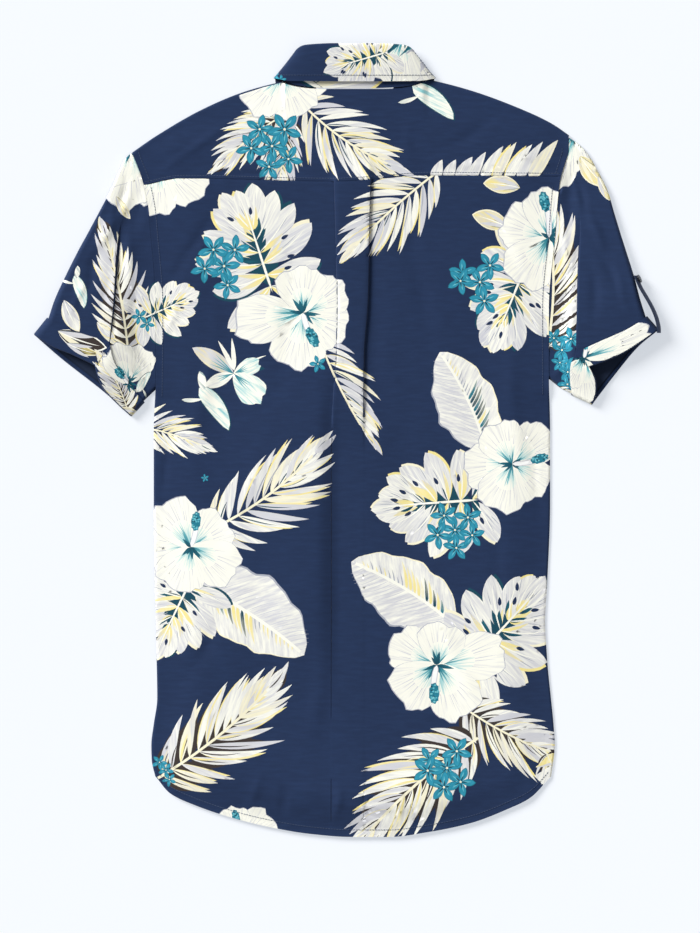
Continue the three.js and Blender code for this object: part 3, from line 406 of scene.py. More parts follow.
def backNet():
    shares = spread((0, 0.012, 3), (0.012, 0.06, 4), (0.06, 0.3, 12), (0.3, 1, 30))
    inner = [s for s in shares if s < 0.999]
    sideTop = {-1: seamY(-199.2) - gap / 2, 1: seamY(207) - gap / 2}
    heights = [-0.0045, -0.0009, *spread((0, 0.02, 4), (0.02, 0.9, 116), (0.9, 0.985, 16), (0.985, 1, 5))]
    rows = []
    for v in heights:
        deep = 0.8 * clamp(-v / 0.0045, 0, 1)

        def place(x):
            return lerp(seamY(x) - gap / 2, hemY(clamp(x, -187.5, 198.7)), v)

        midY = place(pleatCentre)
        folded = 0 if midY < -12 else pleatFolded(midY)
        steps, radius, turn = foldSteps(max(folded, 0.005))
        end = steps[-1]
        out = radius * math.sin(min(turn, math.pi / 2))
        xl = pleatLeft(clamp(midY, -12, 256)) + out
        xr = pleatRight(clamp(midY, -12, 256)) - out

        def sidePoint(side, s):
            edge = leftEdge if side < 0 else rightEdge
            start = xl - end[0] if side < 0 else xr + end[0]
            edgeY = lerp(sideTop[side], -328, v)
            x = lerp(edge(edgeY) - (side * gap / 2 if edgeY > armpitY else 0), start, s)
            y = lerp(edgeY, place(x), lerp(smooth(0, 0.16, s), 1, smooth(0.9, 1, v)))
            z = backZ(x, y)
            away = abs(x - edge(y))
            low = 1 - smooth(armpitY - 14, armpitY + 2, y)
            z -= low * 0.75 * (1 - smooth(0, 1.6, away))
            z += (1 - low) * 0.35 * (1 - smooth(0, 5, away))
            return [x, y, z]

        row = [sidePoint(-1, s) for s in inner]
        row += [[xl - end[0] + dx, place(xl - end[0] + dx), backZ(xl - end[0] + dx, midY) + dz] for dx,
            dz in steps]
        for t in np.linspace(0, 1, 10)[1:-1]:
            x = lerp(xl, xr, t)
            row.append([x, place(x), backZ(x, midY) + end[1]])
        row += [
            [xr + end[0] - dx, place(xr + end[0] - dx), backZ(xr + end[0] - dx, midY) + dz]
            for dx, dz in reversed(steps)
        ]
        row += [sidePoint(1, s) for s in reversed(inner)]
        for p in row:
            p[2] -= deep
        rows.append(row)
        if midY > 22:
            pleatRows = len(rows)
    net = np.array(rows, float)
    n = len(inner)
    end = 2 * n + 27
    zones = [(0, n, 0, pleatRows), (n + 9, n + 18, 0, pleatRows), (n + 27, end, 0, pleatRows)]
    zones.append((0, end, pleatRows, len(rows) - 1))
    return creased(net, backCreases), zones


yokeCreases = table(
    "x y turn long wide depth",
    [
        (-150, 285, 40, 60, 4, 0.4), (-110, 300, 150, 50, 5, -0.35), (120, 300, 30, 50, 5, -0.35),
        (165, 285, 140, 55, 4, 0.4), (60, 290, 85, 30, 5, 0.3), (-50, 290, 95, 30, 5, -0.3),
        (-95, 266, 5, 60, 3.5, 0.3), (110, 270, -4, 60, 3.5, 0.3),
    ],
)


def yokeNet():
    left = leftEdge(281) + gap / 2
    right = rightEdge(281) - gap / 2
    shares = spread((0, 0.02, 3), (0.02, 1, 36))
    xs = [lerp(left, centreX - neckHalf - 1, t) for t in shares]
    xs += list(np.linspace(centreX - neckHalf + 1, centreX + neckHalf - 1, 44))
    xs += [lerp(right, centreX + neckHalf + 1, t) for t in reversed(shares)]
    turn = (armholeZ - floorZ) / 2

    def inNeck(x):
        return abs(x - centreX) < neckHalf + 0.5

    def topY(x):
        if not inNeck(x):
            return shoulderY(x)
        t = abs(x - centreX) / neckHalf
        return lerp(neckBack, shoulderY(x) - 1, t**5) - gap

    def lowX(x, y):
        if abs(x - centreX) < neckHalf:
            return x
        span = leftEdge(y) + gap / 2 if x < centreX else rightEdge(y) - gap / 2
        full = left if x < centreX else right
        inner = centreX - neckHalf if x < centreX else centreX + neckHalf
        return lerp(inner, span, (x - inner) / (full - inner))

    net = []
    for v in [-0.012, *spread((0, 0.06, 4), (0.06, 1, 30))]:
        row = []
        for x in xs:
            radius = 0 if inNeck(x) else (armholeZ - floorZ - overLeaf(x, 340)) / 2
            low = seamY(lowX(x, 249 if x < centreX else 257.7)) + gap / 2
            y = lerp(low, topY(x) - radius, max(v, 0)) - (0.5 if v < 0 else 0)
            px = lowX(x, min(y, 281))
            box = 2 * pitch * (1 - smooth(0, 0.3, v)) * (1 - smooth(16, 21, abs(x - pleatCentre)))
            base = backZ(px, y)
            z = base if inNeck(x) else lerp(base, armholeZ, smooth(0.55, 1, v))
            lip = 0.45 * (1 - smooth(0, 0.05, max(v, 0)))
            side = min(px - leftEdge(y), rightEdge(y) - px)
            lip += 0.35 * (1 - smooth(0, 5, side)) * smooth(0, 0.1, max(v, 0))
            row.append([px, y, z + box + lip - (0.6 if v < 0 else 0)])
        net.append(row)
    flat = len(net)
    steps = 7
    for k in range(1, steps + 1):
        a = math.pi * k / steps
        row = []
        for x in xs:
            low = floorZ + overLeaf(x, 340)
            radius = (armholeZ - low) / 2
            y = topY(x) - radius + radius * math.sin(a)
            row.append([lowX(x, min(y, 281)), y, low + radius * (1 + math.cos(a))])
        net.append(row)
    for t in spread((0.1, 1, 9)):
        row = []
        for x in xs:
            edge = left if x < centreX else right
            inner = centreX - neckHalf - 1 if x < centreX else centreX + neckHalf + 1
            px = x
            for _ in range(8):
                y = shoulderY(px) - 1.3 - (yokeWrap - 1.3) * t
                outer = leftEdge(min(y, 281)) + gap / 2 if x < centreX else rightEdge(min(y, 281)) - gap / 2
                px = lerp(inner, outer, (x - inner) / (edge - inner))
            row.append([px, y, floorZ + overLeaf(px, y)])
        net.append(row)
    necks = [j for j, x in enumerate(xs) if inNeck(x)]
    first, last = necks[0], necks[-1]

    def skip(i, j):
        return i >= flat - 1 and first - 1 <= j <= last

    net = np.array(net, float)
    net[:flat] = creased(net[:flat], yokeCreases)
    return net, flat, skip


neckRows = [{"x": 0, "y": neckFront}] + [{"x": c["neckX"], "y": c["neckY"]} for c in collar[7:-1]]
neckCurve = column(neckRows, "x", "y")


def frontTop(x):
    away = abs(x - centreX)
    seam = shoulderY(x) - yokeWrap - 2.2 * gap
    if away >= neckHalf + 0.5:
        return seam
    return min(neckCurve(away) - gap, seam)


frontCreases = table(
    "x y turn long wide depth",
    [
        (-120, 150, 70, 90, 8, 0.3), (-90, -40, 85, 110, 9, 0.35), (-140, -220, 75, 80, 7, 0.3),
        (-60, -300, 100, 60, 7, 0.3), (130, 140, 108, 90, 8, 0.3), (100, -60, 94, 120, 9, 0.35),
        (150, -210, 104, 80, 7, 0.3), (70, -320, 80, 60, 7, 0.3),
    ],
)


def frontNet(side):
    heightZ = leftFrontZ if side < 0 else rightFrontZ
    edge = leftEdge if side < 0 else rightEdge
    free = centreX - side * lapHalf
    corner = edge(260)
    for _ in range(20):
        corner = edge(frontTop(corner))
    shares = spread((0, 0.03, 3), (0.03, 0.55, 18), (0.55, 0.97, 34), (0.97, 1, 4))
    net = []
    for v in spread((0, 0.02, 2), (0.02, 0.9, 70), (0.9, 1, 12)):
        row = []
        y0 = lerp(frontTop(corner), -328, v)
        e0 = edge(y0) - (side * gap / 2 if y0 > armpitY else 0)
        for s in shares:
            x = lerp(e0, free, s)
            top = lerp(edge(frontTop(corner)), free, s)
            low = clamp(lerp(edge(-328), free, s), -187.5, 198.7)
            tail = frontTail * smooth(0, 60, min(low + 187, 198 - low))
            y = lerp(frontTop(corner if s == 0 else top), hemY(low) + tail, v)
            z = heightZ(x, y)
            seam = 1 - smooth(armpitY - 14, armpitY + 2, y)
            z += seam * 0.35 * (1 - smooth(0, 1.6, abs(x - edge(y))))
            row.append([x, y, z])
        net.append(row)
    return creased(np.array(net, float), frontCreases)


# Sleeves: the ring runs over the near outer part, the fold, the near inner part and the far side.
def sleeveForm(s):
    edge = leftEdge if s["side"] < 0 else rightEdge
    outer = path(s["outer"])
    fold = path(s["fold"])
    under = path(s["under"])
    head = s["outer"][0]
    armpit = s["under"][0]
    foldTop = s["fold"][0]
    bare = 281 if head[1] > 281 else 278.5
    parts = {ring: {key: path(s[ring][key]) for key in ("outer", "inner", "far")} for ring in ("cuffTop",
        "cuffFold")}

    def seamPoint(y0, y1, t):
        y = lerp(y0, y1, t)
        x = edge(min(y, bare)) + s["side"] * (gap / 2 + 0.05)
        if y > bare:
            x = lerp(x, head[0], (y - bare) / (head[1] - bare + 1e-6))
        return [x, y]

    def coons(u, v, a, b, top, low):
        p00, p10, p01, p11 = top(0), top(1), low(0), low(1)
        av, bv, tu, lu = a(v), b(v), top(u), low(u)
        out = []
        for k in range(2):
            corners = (1 - u) * (1 - v) * p00[k] + u * (1 - v) * p10[k] + (1 - u) * v * p01[k] + u * v * p11[k]
            out.append((1 - u) * av[k] + u * bv[k] + (1 - v) * tu[k] + v * lu[k] - corners)
        return out

    def foldStart(t):
        return seamPoint(head[1], foldTop[1], t)

    def foldLine(v):
        p = fold(v)
        w = 1 - smooth(0, 0.12, v)
        return [lerp(p[0], foldStart(1)[0] + (p[0] - foldTop[0]), w), p[1]]

    def loft(u, v, near):
        across = 1 if near == "outer" else lerp(1, 0.28, smooth(0.1, 1, u))
        return lerp(2 * pitch, sleeveLoft * across, smooth(0.02, 0.8, v))

    def rest(v):
        return floorZ + cuffOut * smooth(0.45, 0.75, v)

    split = 0.84

    def plan(key, u, v):
        if v > split:
            t = (v - split) / (1 - split)
            p = parts["cuffTop"][key](u)
            q = parts["cuffFold"][key](u)
            return [lerp(p[0], q[0], t), lerp(p[1], q[1], t)]
        w = v / split
        if key == "outer":
            return coons(u, w, outer, foldLine, foldStart, parts["cuffTop"]["outer"])
        if key == "inner":
            top = lambda t: seamPoint(foldTop[1], armpit[1], t)
            return coons(u, w, foldLine, under, top, parts["cuffTop"]["inner"])
        return coons(u, w, outer, under, lambda t: seamPoint(head[1], armpit[1], t),
            parts["cuffTop"]["far"])

    return plan, loft, rest, (head[1] - foldTop[1]) / (head[1] - armpit[1])


def rounded(distance, reach):
    t = clamp(distance / reach, 0, 1)
    return math.sqrt(max(0, 1 - (1 - t) ** 2))


nearOuter = spread((0, 0.02, 4), (0.02, 0.12, 6), (0.12, 0.9, 20), (0.9, 1, 4))
nearInner = spread((0.04, 0.36, 7), (0.36, 0.9, 10), (0.9, 1, 5))[:-1]
farAcross = [1 - t for t in spread((0, 0.06, 5), (0.06, 0.9, 24), (0.9, 0.995, 7))]
sleeveZones = {
    "outer": (0, len(nearOuter) - 1),
    "inner": (len(nearOuter) + 8, len(nearOuter) + 8 + len(nearInner)),
    "far": (len(nearOuter) + 8 + len(nearInner) + 1, len(nearOuter) + 8 + len(nearInner) + len(farAcross)),
}


def sleeveNet(s, vs):
    plan, loft, rest, _ = sleeveForm(s)
    side = s["side"]
    net = []
    for v in vs:
        row = []
        o0 = plan("outer", 0, v)
        uEnd = plan("inner", 1, v)
        base = rest(v)
        share = smooth(s["foldFrom"], s["foldFrom"] + 0.2, v) * (1 - smooth(0.72, 0.83, v))
        drop = 2.4 * share
        tuck = 5 * share
        for u in nearOuter:
            p = plan("outer", u, v)
            high = loft(u, v, "outer")
            row.append([*p, base + high * (0.5 + 0.5 * rounded(math.dist(p, o0), high * 0.5))])
        edge = row[-1]
        a0 = plan("inner", 0, v)
        a1 = plan("inner", 0.1, v)
        long = math.dist(a0, a1)
        way = [(a1[k] - a0[k]) / long for k in range(2)]
        into = -side * share
        for a in (0.25, 0.5, 0.75, 1):
            step = 1.2 * a * (1 - share)
            row.append([
                edge[0] + into * 0.7 * math.sin(math.pi * a) + way[0] * step,
                edge[1] + way[1] * step,
                edge[2] - drop / 2 * (1 - math.cos(math.pi * a)) / 2,
            ])
        last = row[-1]
        row.append([last[0] + side * tuck + way[0] * 0.8 * (1 - share),
            last[1] + way[1] * 0.8 * (1 - share), last[2]])
        turnAt = row[-1]
        for a in (0.33, 0.67, 1):
            step = 1.2 * a * (1 - share)
            row.append([
                turnAt[0] - into * 0.7 * math.sin(math.pi * a) + way[0] * step,
                turnAt[1] + way[1] * step,
                turnAt[2] - drop / 2 * (1 - math.cos(math.pi * a)) / 2,
            ])
        low = row[-1]
        for u in nearInner:
            p = plan("inner", u, v)
            high = loft(u, v, "inner")
            own = base + high * (0.5 + 0.5 * rounded(math.dist(p, uEnd), high * 0.5))
            row.append([*p, lerp(low[2], own, smooth(0, 0.36, u))])
        for u in farAcross:
            p = plan("far", u, v)
            highOuter = loft(0, v, "outer")
            highInner = loft(1, v, "inner")
            d0 = rounded(math.dist(p, o0), highOuter * 0.5)
            d1 = rounded(math.dist(p, uEnd), highInner * 0.5)
            row.append([*p, base + max(highOuter * (0.5 - 0.5 * d0), highInner * (0.5 - 0.5 * d1))])
        net.append(row)
    return np.array(net, float)


leftSleeveCreases = table(
    "x y turn long wide depth",
    [
        (-213, 212, 80, 56, 8, -1.1), (-222, 235, 75, 34, 4, -0.6), (-236, 205, 60, 40, 5, 0.7),
        (-250, 165, 66, 44, 5, -0.6),
        (-212, 190, 85, 50, 4, 0.5), (-206, 120, 95, 44, 4, -0.45), (-262, 140, 70, 34, 4, 0.6),
        (-238, 140, 80, 40, 5, -0.5), (-205, 75, 130, 30, 4, 0.45),
    ],
)
rightSleeveCreases = table(
    "x y turn long wide depth",
    [
        (217, 235, 100, 50, 7, -0.9), (228, 238, 108, 34, 4, -0.6), (240, 205, 112, 40, 5, 0.7),
        (256, 165, 110, 46, 5, -0.6),
        (214, 190, 92, 50, 3.5, 0.5), (210, 120, 84, 44, 3.5, -0.45), (268, 145, 112, 30, 4, 0.6),
        (240, 140, 96, 46, 5, -0.5), (210, 75, 60, 26, 3.5, 0.45),
    ],
)


sleeveHeights = spread((0, 0.02, 3), (0.02, 0.84, 52), (0.84, 0.965, 8))


def sleevePanel(s, rows):
    net = sleeveNet(s, sleeveHeights)
    n = sleeveZones["inner"][1] + 1
    net[:, :n] = creased(net[:, :n], rows)
    tucked = net[0].copy()
    tucked[:, 0] -= s["side"] * 1.8
    tucked[:n, 2] -= 0.9
    tucked[n:, 2] += 0.7
    return np.concatenate([tucked[None], net])


def moved(net, by):
    prevRow = np.concatenate([net[:1], net[:-1]])
    nextRow = np.concatenate([net[1:], net[-1:]])
    around = np.roll(net, -1, axis=1) - np.roll(net, 1, axis=1)
    n = np.cross(around, nextRow - prevRow)
    n /= np.maximum(np.linalg.norm(n, axis=2, keepdims=True), 1e-9)
    out = net + n * by
    out[..., 2] = np.maximum(out[..., 2], floorZ)
    return out


# A cuff is a band outside the sleeve's end, a fold, and the start of the inside layer.
def cuffNet(s):
    vs = [0.84, *spread((0.846, 0.99, 14)), 0.995]
    base = sleeveNet(s, [*vs, 1.0])
    outward = -1 if s["side"] < 0 else 1
    skin = moved(base, outward * cuffOut)
    half = moved(base, outward * cuffOut * 0.5)
    end = len(vs) - 1
    net = list(skin[: end + 1])
    reach = base[-1] - base[-3]
    reach /= np.maximum(np.linalg.norm(reach, axis=1, keepdims=True), 1e-9)
    for a in (0.2, 0.4, 0.6, 0.8):
        angle = math.pi * a
        net.append(half[end] + (skin[end] - half[end]) * math.cos(angle) + reach * cuffOut / 2 * math.sin(angle))
    net.append(base[end])
    net.append(sleeveNet(s, [0.985])[0])
    net.append(sleeveNet(s, [0.976])[0])
    net = np.array(net)
    net[0, :, 2] -= 0.1
    return net, end + 1


def collarStations():
    def make(side):
        out = []
        for i, c in enumerate(collar):
            lift = smooth(8, 11, i) * pitch if side > 0 else 0
            end = i == len(collar) - 1
            out.append([
                centreX + side * c["neckX"], c["neckY"], c["neckZ"] + (lift if end else lift * 0.6),
                centreX + side * c["foldX"], c["foldY"], c["foldZ"] + lift,
                centreX + side * c["edgeX"], c["edgeY"], c["edgeZ"],
                side * c["outX"], 0, c["outZ"],
            ])
        return out

    return np.array([*reversed(make(-1)), *make(1)[1:]], float)


# Stations set closer together along the collar.
def finer(stations, count):
    n = len(stations)
    at = np.linspace(0, n - 1, count * (n - 1) + 1)
    out = []
    for t in at:
        i = min(int(t), n - 2)
        f = t - i
        p0, p1, p2, p3 = (stations[clamp(i + k, 0, n - 1)] for k in (-1, 0, 1, 2))
        m1 = (p2 - p0) / 2
        m2 = (p3 - p1) / 2
        a = (2 * f**3 - 3 * f**2 + 1) * p1 + (f**3 - 2 * f**2 + f) * m1
        out.append(a + (3 * f**2 - 2 * f**3) * p2 + (f**3 - f**2) * m2)
    return np.array(out)


def unit(v):
    return v / max(np.linalg.norm(v), 1e-9)


def standNet():
    st = collarStations()
    ends = []
    for s, way in ((st[0], 1), (st[-1], -1)):
        e = s.copy()
        e[0:2] = (centreX + way * standLap, neckCurve(standLap))
        e[3:5] = (centreX + way * (standLap - 3), s[4] - 4)
        ends.append(e)
    every = [ends[0], *finer(st, 6), ends[1]]
    net = []
    for t in spread((0, 0.98, 12)):
        row = []
        for s in every:
            up = unit(s[3:6] - s[0:3])
            row.append(lerp(s[0:3] + up * 1.0 * gap, s[3:6], t))
        net.append(row)
    return np.array(net)


def leafNet():
    net = []
    for s in finer(collarStations(), 6):
        up = unit(s[3:6] - s[0:3])
        out = unit(s[9:12])
        front = s[11] < -0.9
        radius = (s[5] - floorZ) / 2 if front else 1.15
        start = s[3:6] + up * 3.5 * gap
        points = []
        for k in range(11):
            a = math.pi * k / 10
            points.append(start + out * radius * (1 - math.cos(a)) + up * radius * math.sin(a))
        over = points[-1]
        for t in spread((0.05, 1, 16)):
            p = lerp(over, s[6:9], t)
            points.append(p + np.array([0, 0, 0.7 * math.sin(math.pi * t) if s[11] > 0.5 else 0]))
        net.append(points)
    return np.array(net).transpose(1, 0, 2)


def tabNet():
    along = path(tabPath)
    net = []
    for t in spread((0, 1, 36)):
        x, y = along(t)
        net.append([[x + 0.6 - 3.2 * h * h, y, 0.6 + h * tabHigh] for h in spread((0, 1, 8))])
    return np.array(net)


# A net of middle points, with what is needed to draw on it.
class Net:
    def __init__(self, points, ring=False, skip=None, facing=(0, 0, 1), thick=cloth):
        p = np.asarray(points, float)
        self.ring = ring
        self.skip = skip or (lambda i, j: False)
        if ring:
            p = np.concatenate([p, p[:, :1]], axis=1)
        self.mid = p
        self.rows, self.cols = p.shape[:2]
        if ring:
            before = np.concatenate([p[:, -2:-1], p[:, :-1]], axis=1)
            after = np.concatenate([p[:, 1:], p[:, 1:2]], axis=1)
        else:
            before = np.concatenate([p[:, :1], p[:, :-1]], axis=1)
            after = np.concatenate([p[:, 1:], p[:, -1:]], axis=1)
        up = np.concatenate([p[:1], p[:-1]])
        down = np.concatenate([p[1:], p[-1:]])
        n = np.cross(after - before, down - up)
        size = np.linalg.norm(n, axis=2, keepdims=True)
        n = np.where(size > 1e-9, n / np.maximum(size, 1e-9), 0)
        if isinstance(facing, str):
            centre = p[:, :-1].mean(axis=1, keepdims=True)
            sign = np.sum(n * (p - centre))
        else:
            i, j, way = facing if len(facing) == 3 and isinstance(facing[2], tuple) else (None, None,
                facing)
            sign = np.sum(n * np.array(way)) if i is None else np.dot(n[i, j], way)
        self.sign = 1.0 if sign >= 0 else -1.0
        self.normal = n * self.sign
        self.outer = p + self.normal * thick / 2
        self.inner = p - self.normal * thick / 2
        stepU = np.linalg.norm(np.diff(p, axis=1), axis=2).mean(axis=0)
        stepV = np.linalg.norm(np.diff(p, axis=0), axis=2).mean(axis=1)
        self.us = np.concatenate([[0], np.cumsum(np.maximum(stepU, 0.05))])
        self.vs = np.concatenate([[0], np.cumsum(np.maximum(stepV, 0.05))])

    def cell(self, u, v, box=None):
        j0, j1, i0, i1 = box or (0, self.cols - 1, 0, self.rows - 1)
        j = np.clip(np.searchsorted(self.us, u, side="right") - 1, j0, j1 - 1)
        i = np.clip(np.searchsorted(self.vs, v, side="right") - 1, i0, i1 - 1)
        fu = (u - self.us[j]) / (self.us[j + 1] - self.us[j])
        fv = (v - self.vs[i]) / (self.vs[i + 1] - self.vs[i])
        return i, j, fu, fv

    def at(self, grid, u, v, box=None):
        i, j, fu, fv = self.cell(u, v, box)
        fu = fu[:, None]
        fv = fv[:, None]
        top = grid[i, j] * (1 - fu) + grid[i, j + 1] * fu
        low = grid[i + 1, j] * (1 - fu) + grid[i + 1, j + 1] * fu
        return top * (1 - fv) + low * fv

    # Where on the net points of the plan lie, within one zone.
    def find(self, xy, box):
        j0, j1, i0, i1 = box
        plan = self.mid[..., :2]
        if not hasattr(self, "trees"):
            self.trees = {}
        if box not in self.trees:
            tree = KDTree((i1 - i0 + 1) * (j1 - j0 + 1))
            k = 0
            for i in range(i0, i1 + 1):
                for j in range(j0, j1 + 1):
                    tree.insert((plan[i, j, 0], plan[i, j, 1], 0), i * self.cols + j)
                    k += 1
            tree.balance()
            self.trees[box] = tree
        tree = self.trees[box]
        near = np.array([tree.find((p[0], p[1], 0))[1] for p in xy])
        u = self.us[near % self.cols]
        v = self.vs[near // self.cols]
        for _ in range(7):
            i, j, fu, fv = self.cell(u, v, box)
            fu1 = fu[:, None]
            fv1 = fv[:, None]
            a, b, c, d = plan[i, j], plan[i, j + 1], plan[i + 1, j], plan[i + 1, j + 1]
            p = (a * (1 - fu1) + b * fu1) * (1 - fv1) + (c * (1 - fu1) + d * fu1) * fv1
            du = ((b - a) * (1 - fv1) + (d - c) * fv1) / (self.us[j + 1] - self.us[j])[:, None]
            dv = ((c - a) * (1 - fu1) + (d - b) * fu1) / (self.vs[i + 1] - self.vs[i])[:, None]
            rest = xy - p
            det = du[:, 0] * dv[:, 1] - du[:, 1] * dv[:, 0]
            det = np.where(np.abs(det) < 1e-4, 1e-4 * np.where(det < 0, -1, 1), det)
            su = np.clip((rest[:, 0] * dv[:, 1] - rest[:, 1] * dv[:, 0]) / det, -25, 25)
            sv = np.clip((du[:, 0] * rest[:, 1] - du[:, 1] * rest[:, 0]) / det, -25, 25)
            u = u + su
            v = v + sv
        return u, v


# A closed polygon cut back to a rectangle.
def clipped(points, u0, u1, v0, v1):
    for axis, limit, keep in ((0, u0, 1), (0, u1, -1), (1, v0, 1), (1, v1, -1)):
        out = []
        for k, b in enumerate(points):
            a = points[k - 1]
            inA = (a[axis] - limit) * keep >= 0
            inB = (b[axis] - limit) * keep >= 0
            if inA != inB:
                t = (limit - a[axis]) / (b[axis] - a[axis])
                other = a[1 - axis] + (b[1 - axis] - a[1 - axis]) * t
                out.append((limit, other) if axis == 0 else (other, limit))
            if inB:
                out.append(b)
        points = out
        if len(points) < 3:
            return []
    tidy = [p for k, p in enumerate(points) if math.dist(p, points[k - 1]) > 0.03]
    return tidy if len(tidy) > 2 else []


# For each place the last outline that lies round it, or -1.
def topmost(places, outlines):
    order = np.argsort(places[:, 1])
    x, y = places[order, 0], places[order, 1]
    top = np.full(len(places), -1)
    for k, b in enumerate(outlines):
        low, high = np.searchsorted(y, (b[:, 1].min(), b[:, 1].max()))
        near = low + np.flatnonzero((x[low:high] > b[:, 0].min()) & (x[low:high] < b[:, 0].max()))
        if not len(near):
            continue
        a = np.roll(b, 1, axis=0)
        px, py = x[near, None], y[near, None]
        left = (b[:, 0] - a[:, 0]) * (py - a[:, 1]) - (px - a[:, 0]) * (b[:, 1] - a[:, 1])
        turns = ((a[:, 1] <= py) & (b[:, 1] > py) & (left > 0)).sum(axis=1)
        turns -= ((a[:, 1] > py) & (b[:, 1] <= py) & (left < 0)).sum(axis=1)
        top[near[turns != 0]] = k
    owners = np.empty(len(places), int)
    owners[order] = top
    return owners


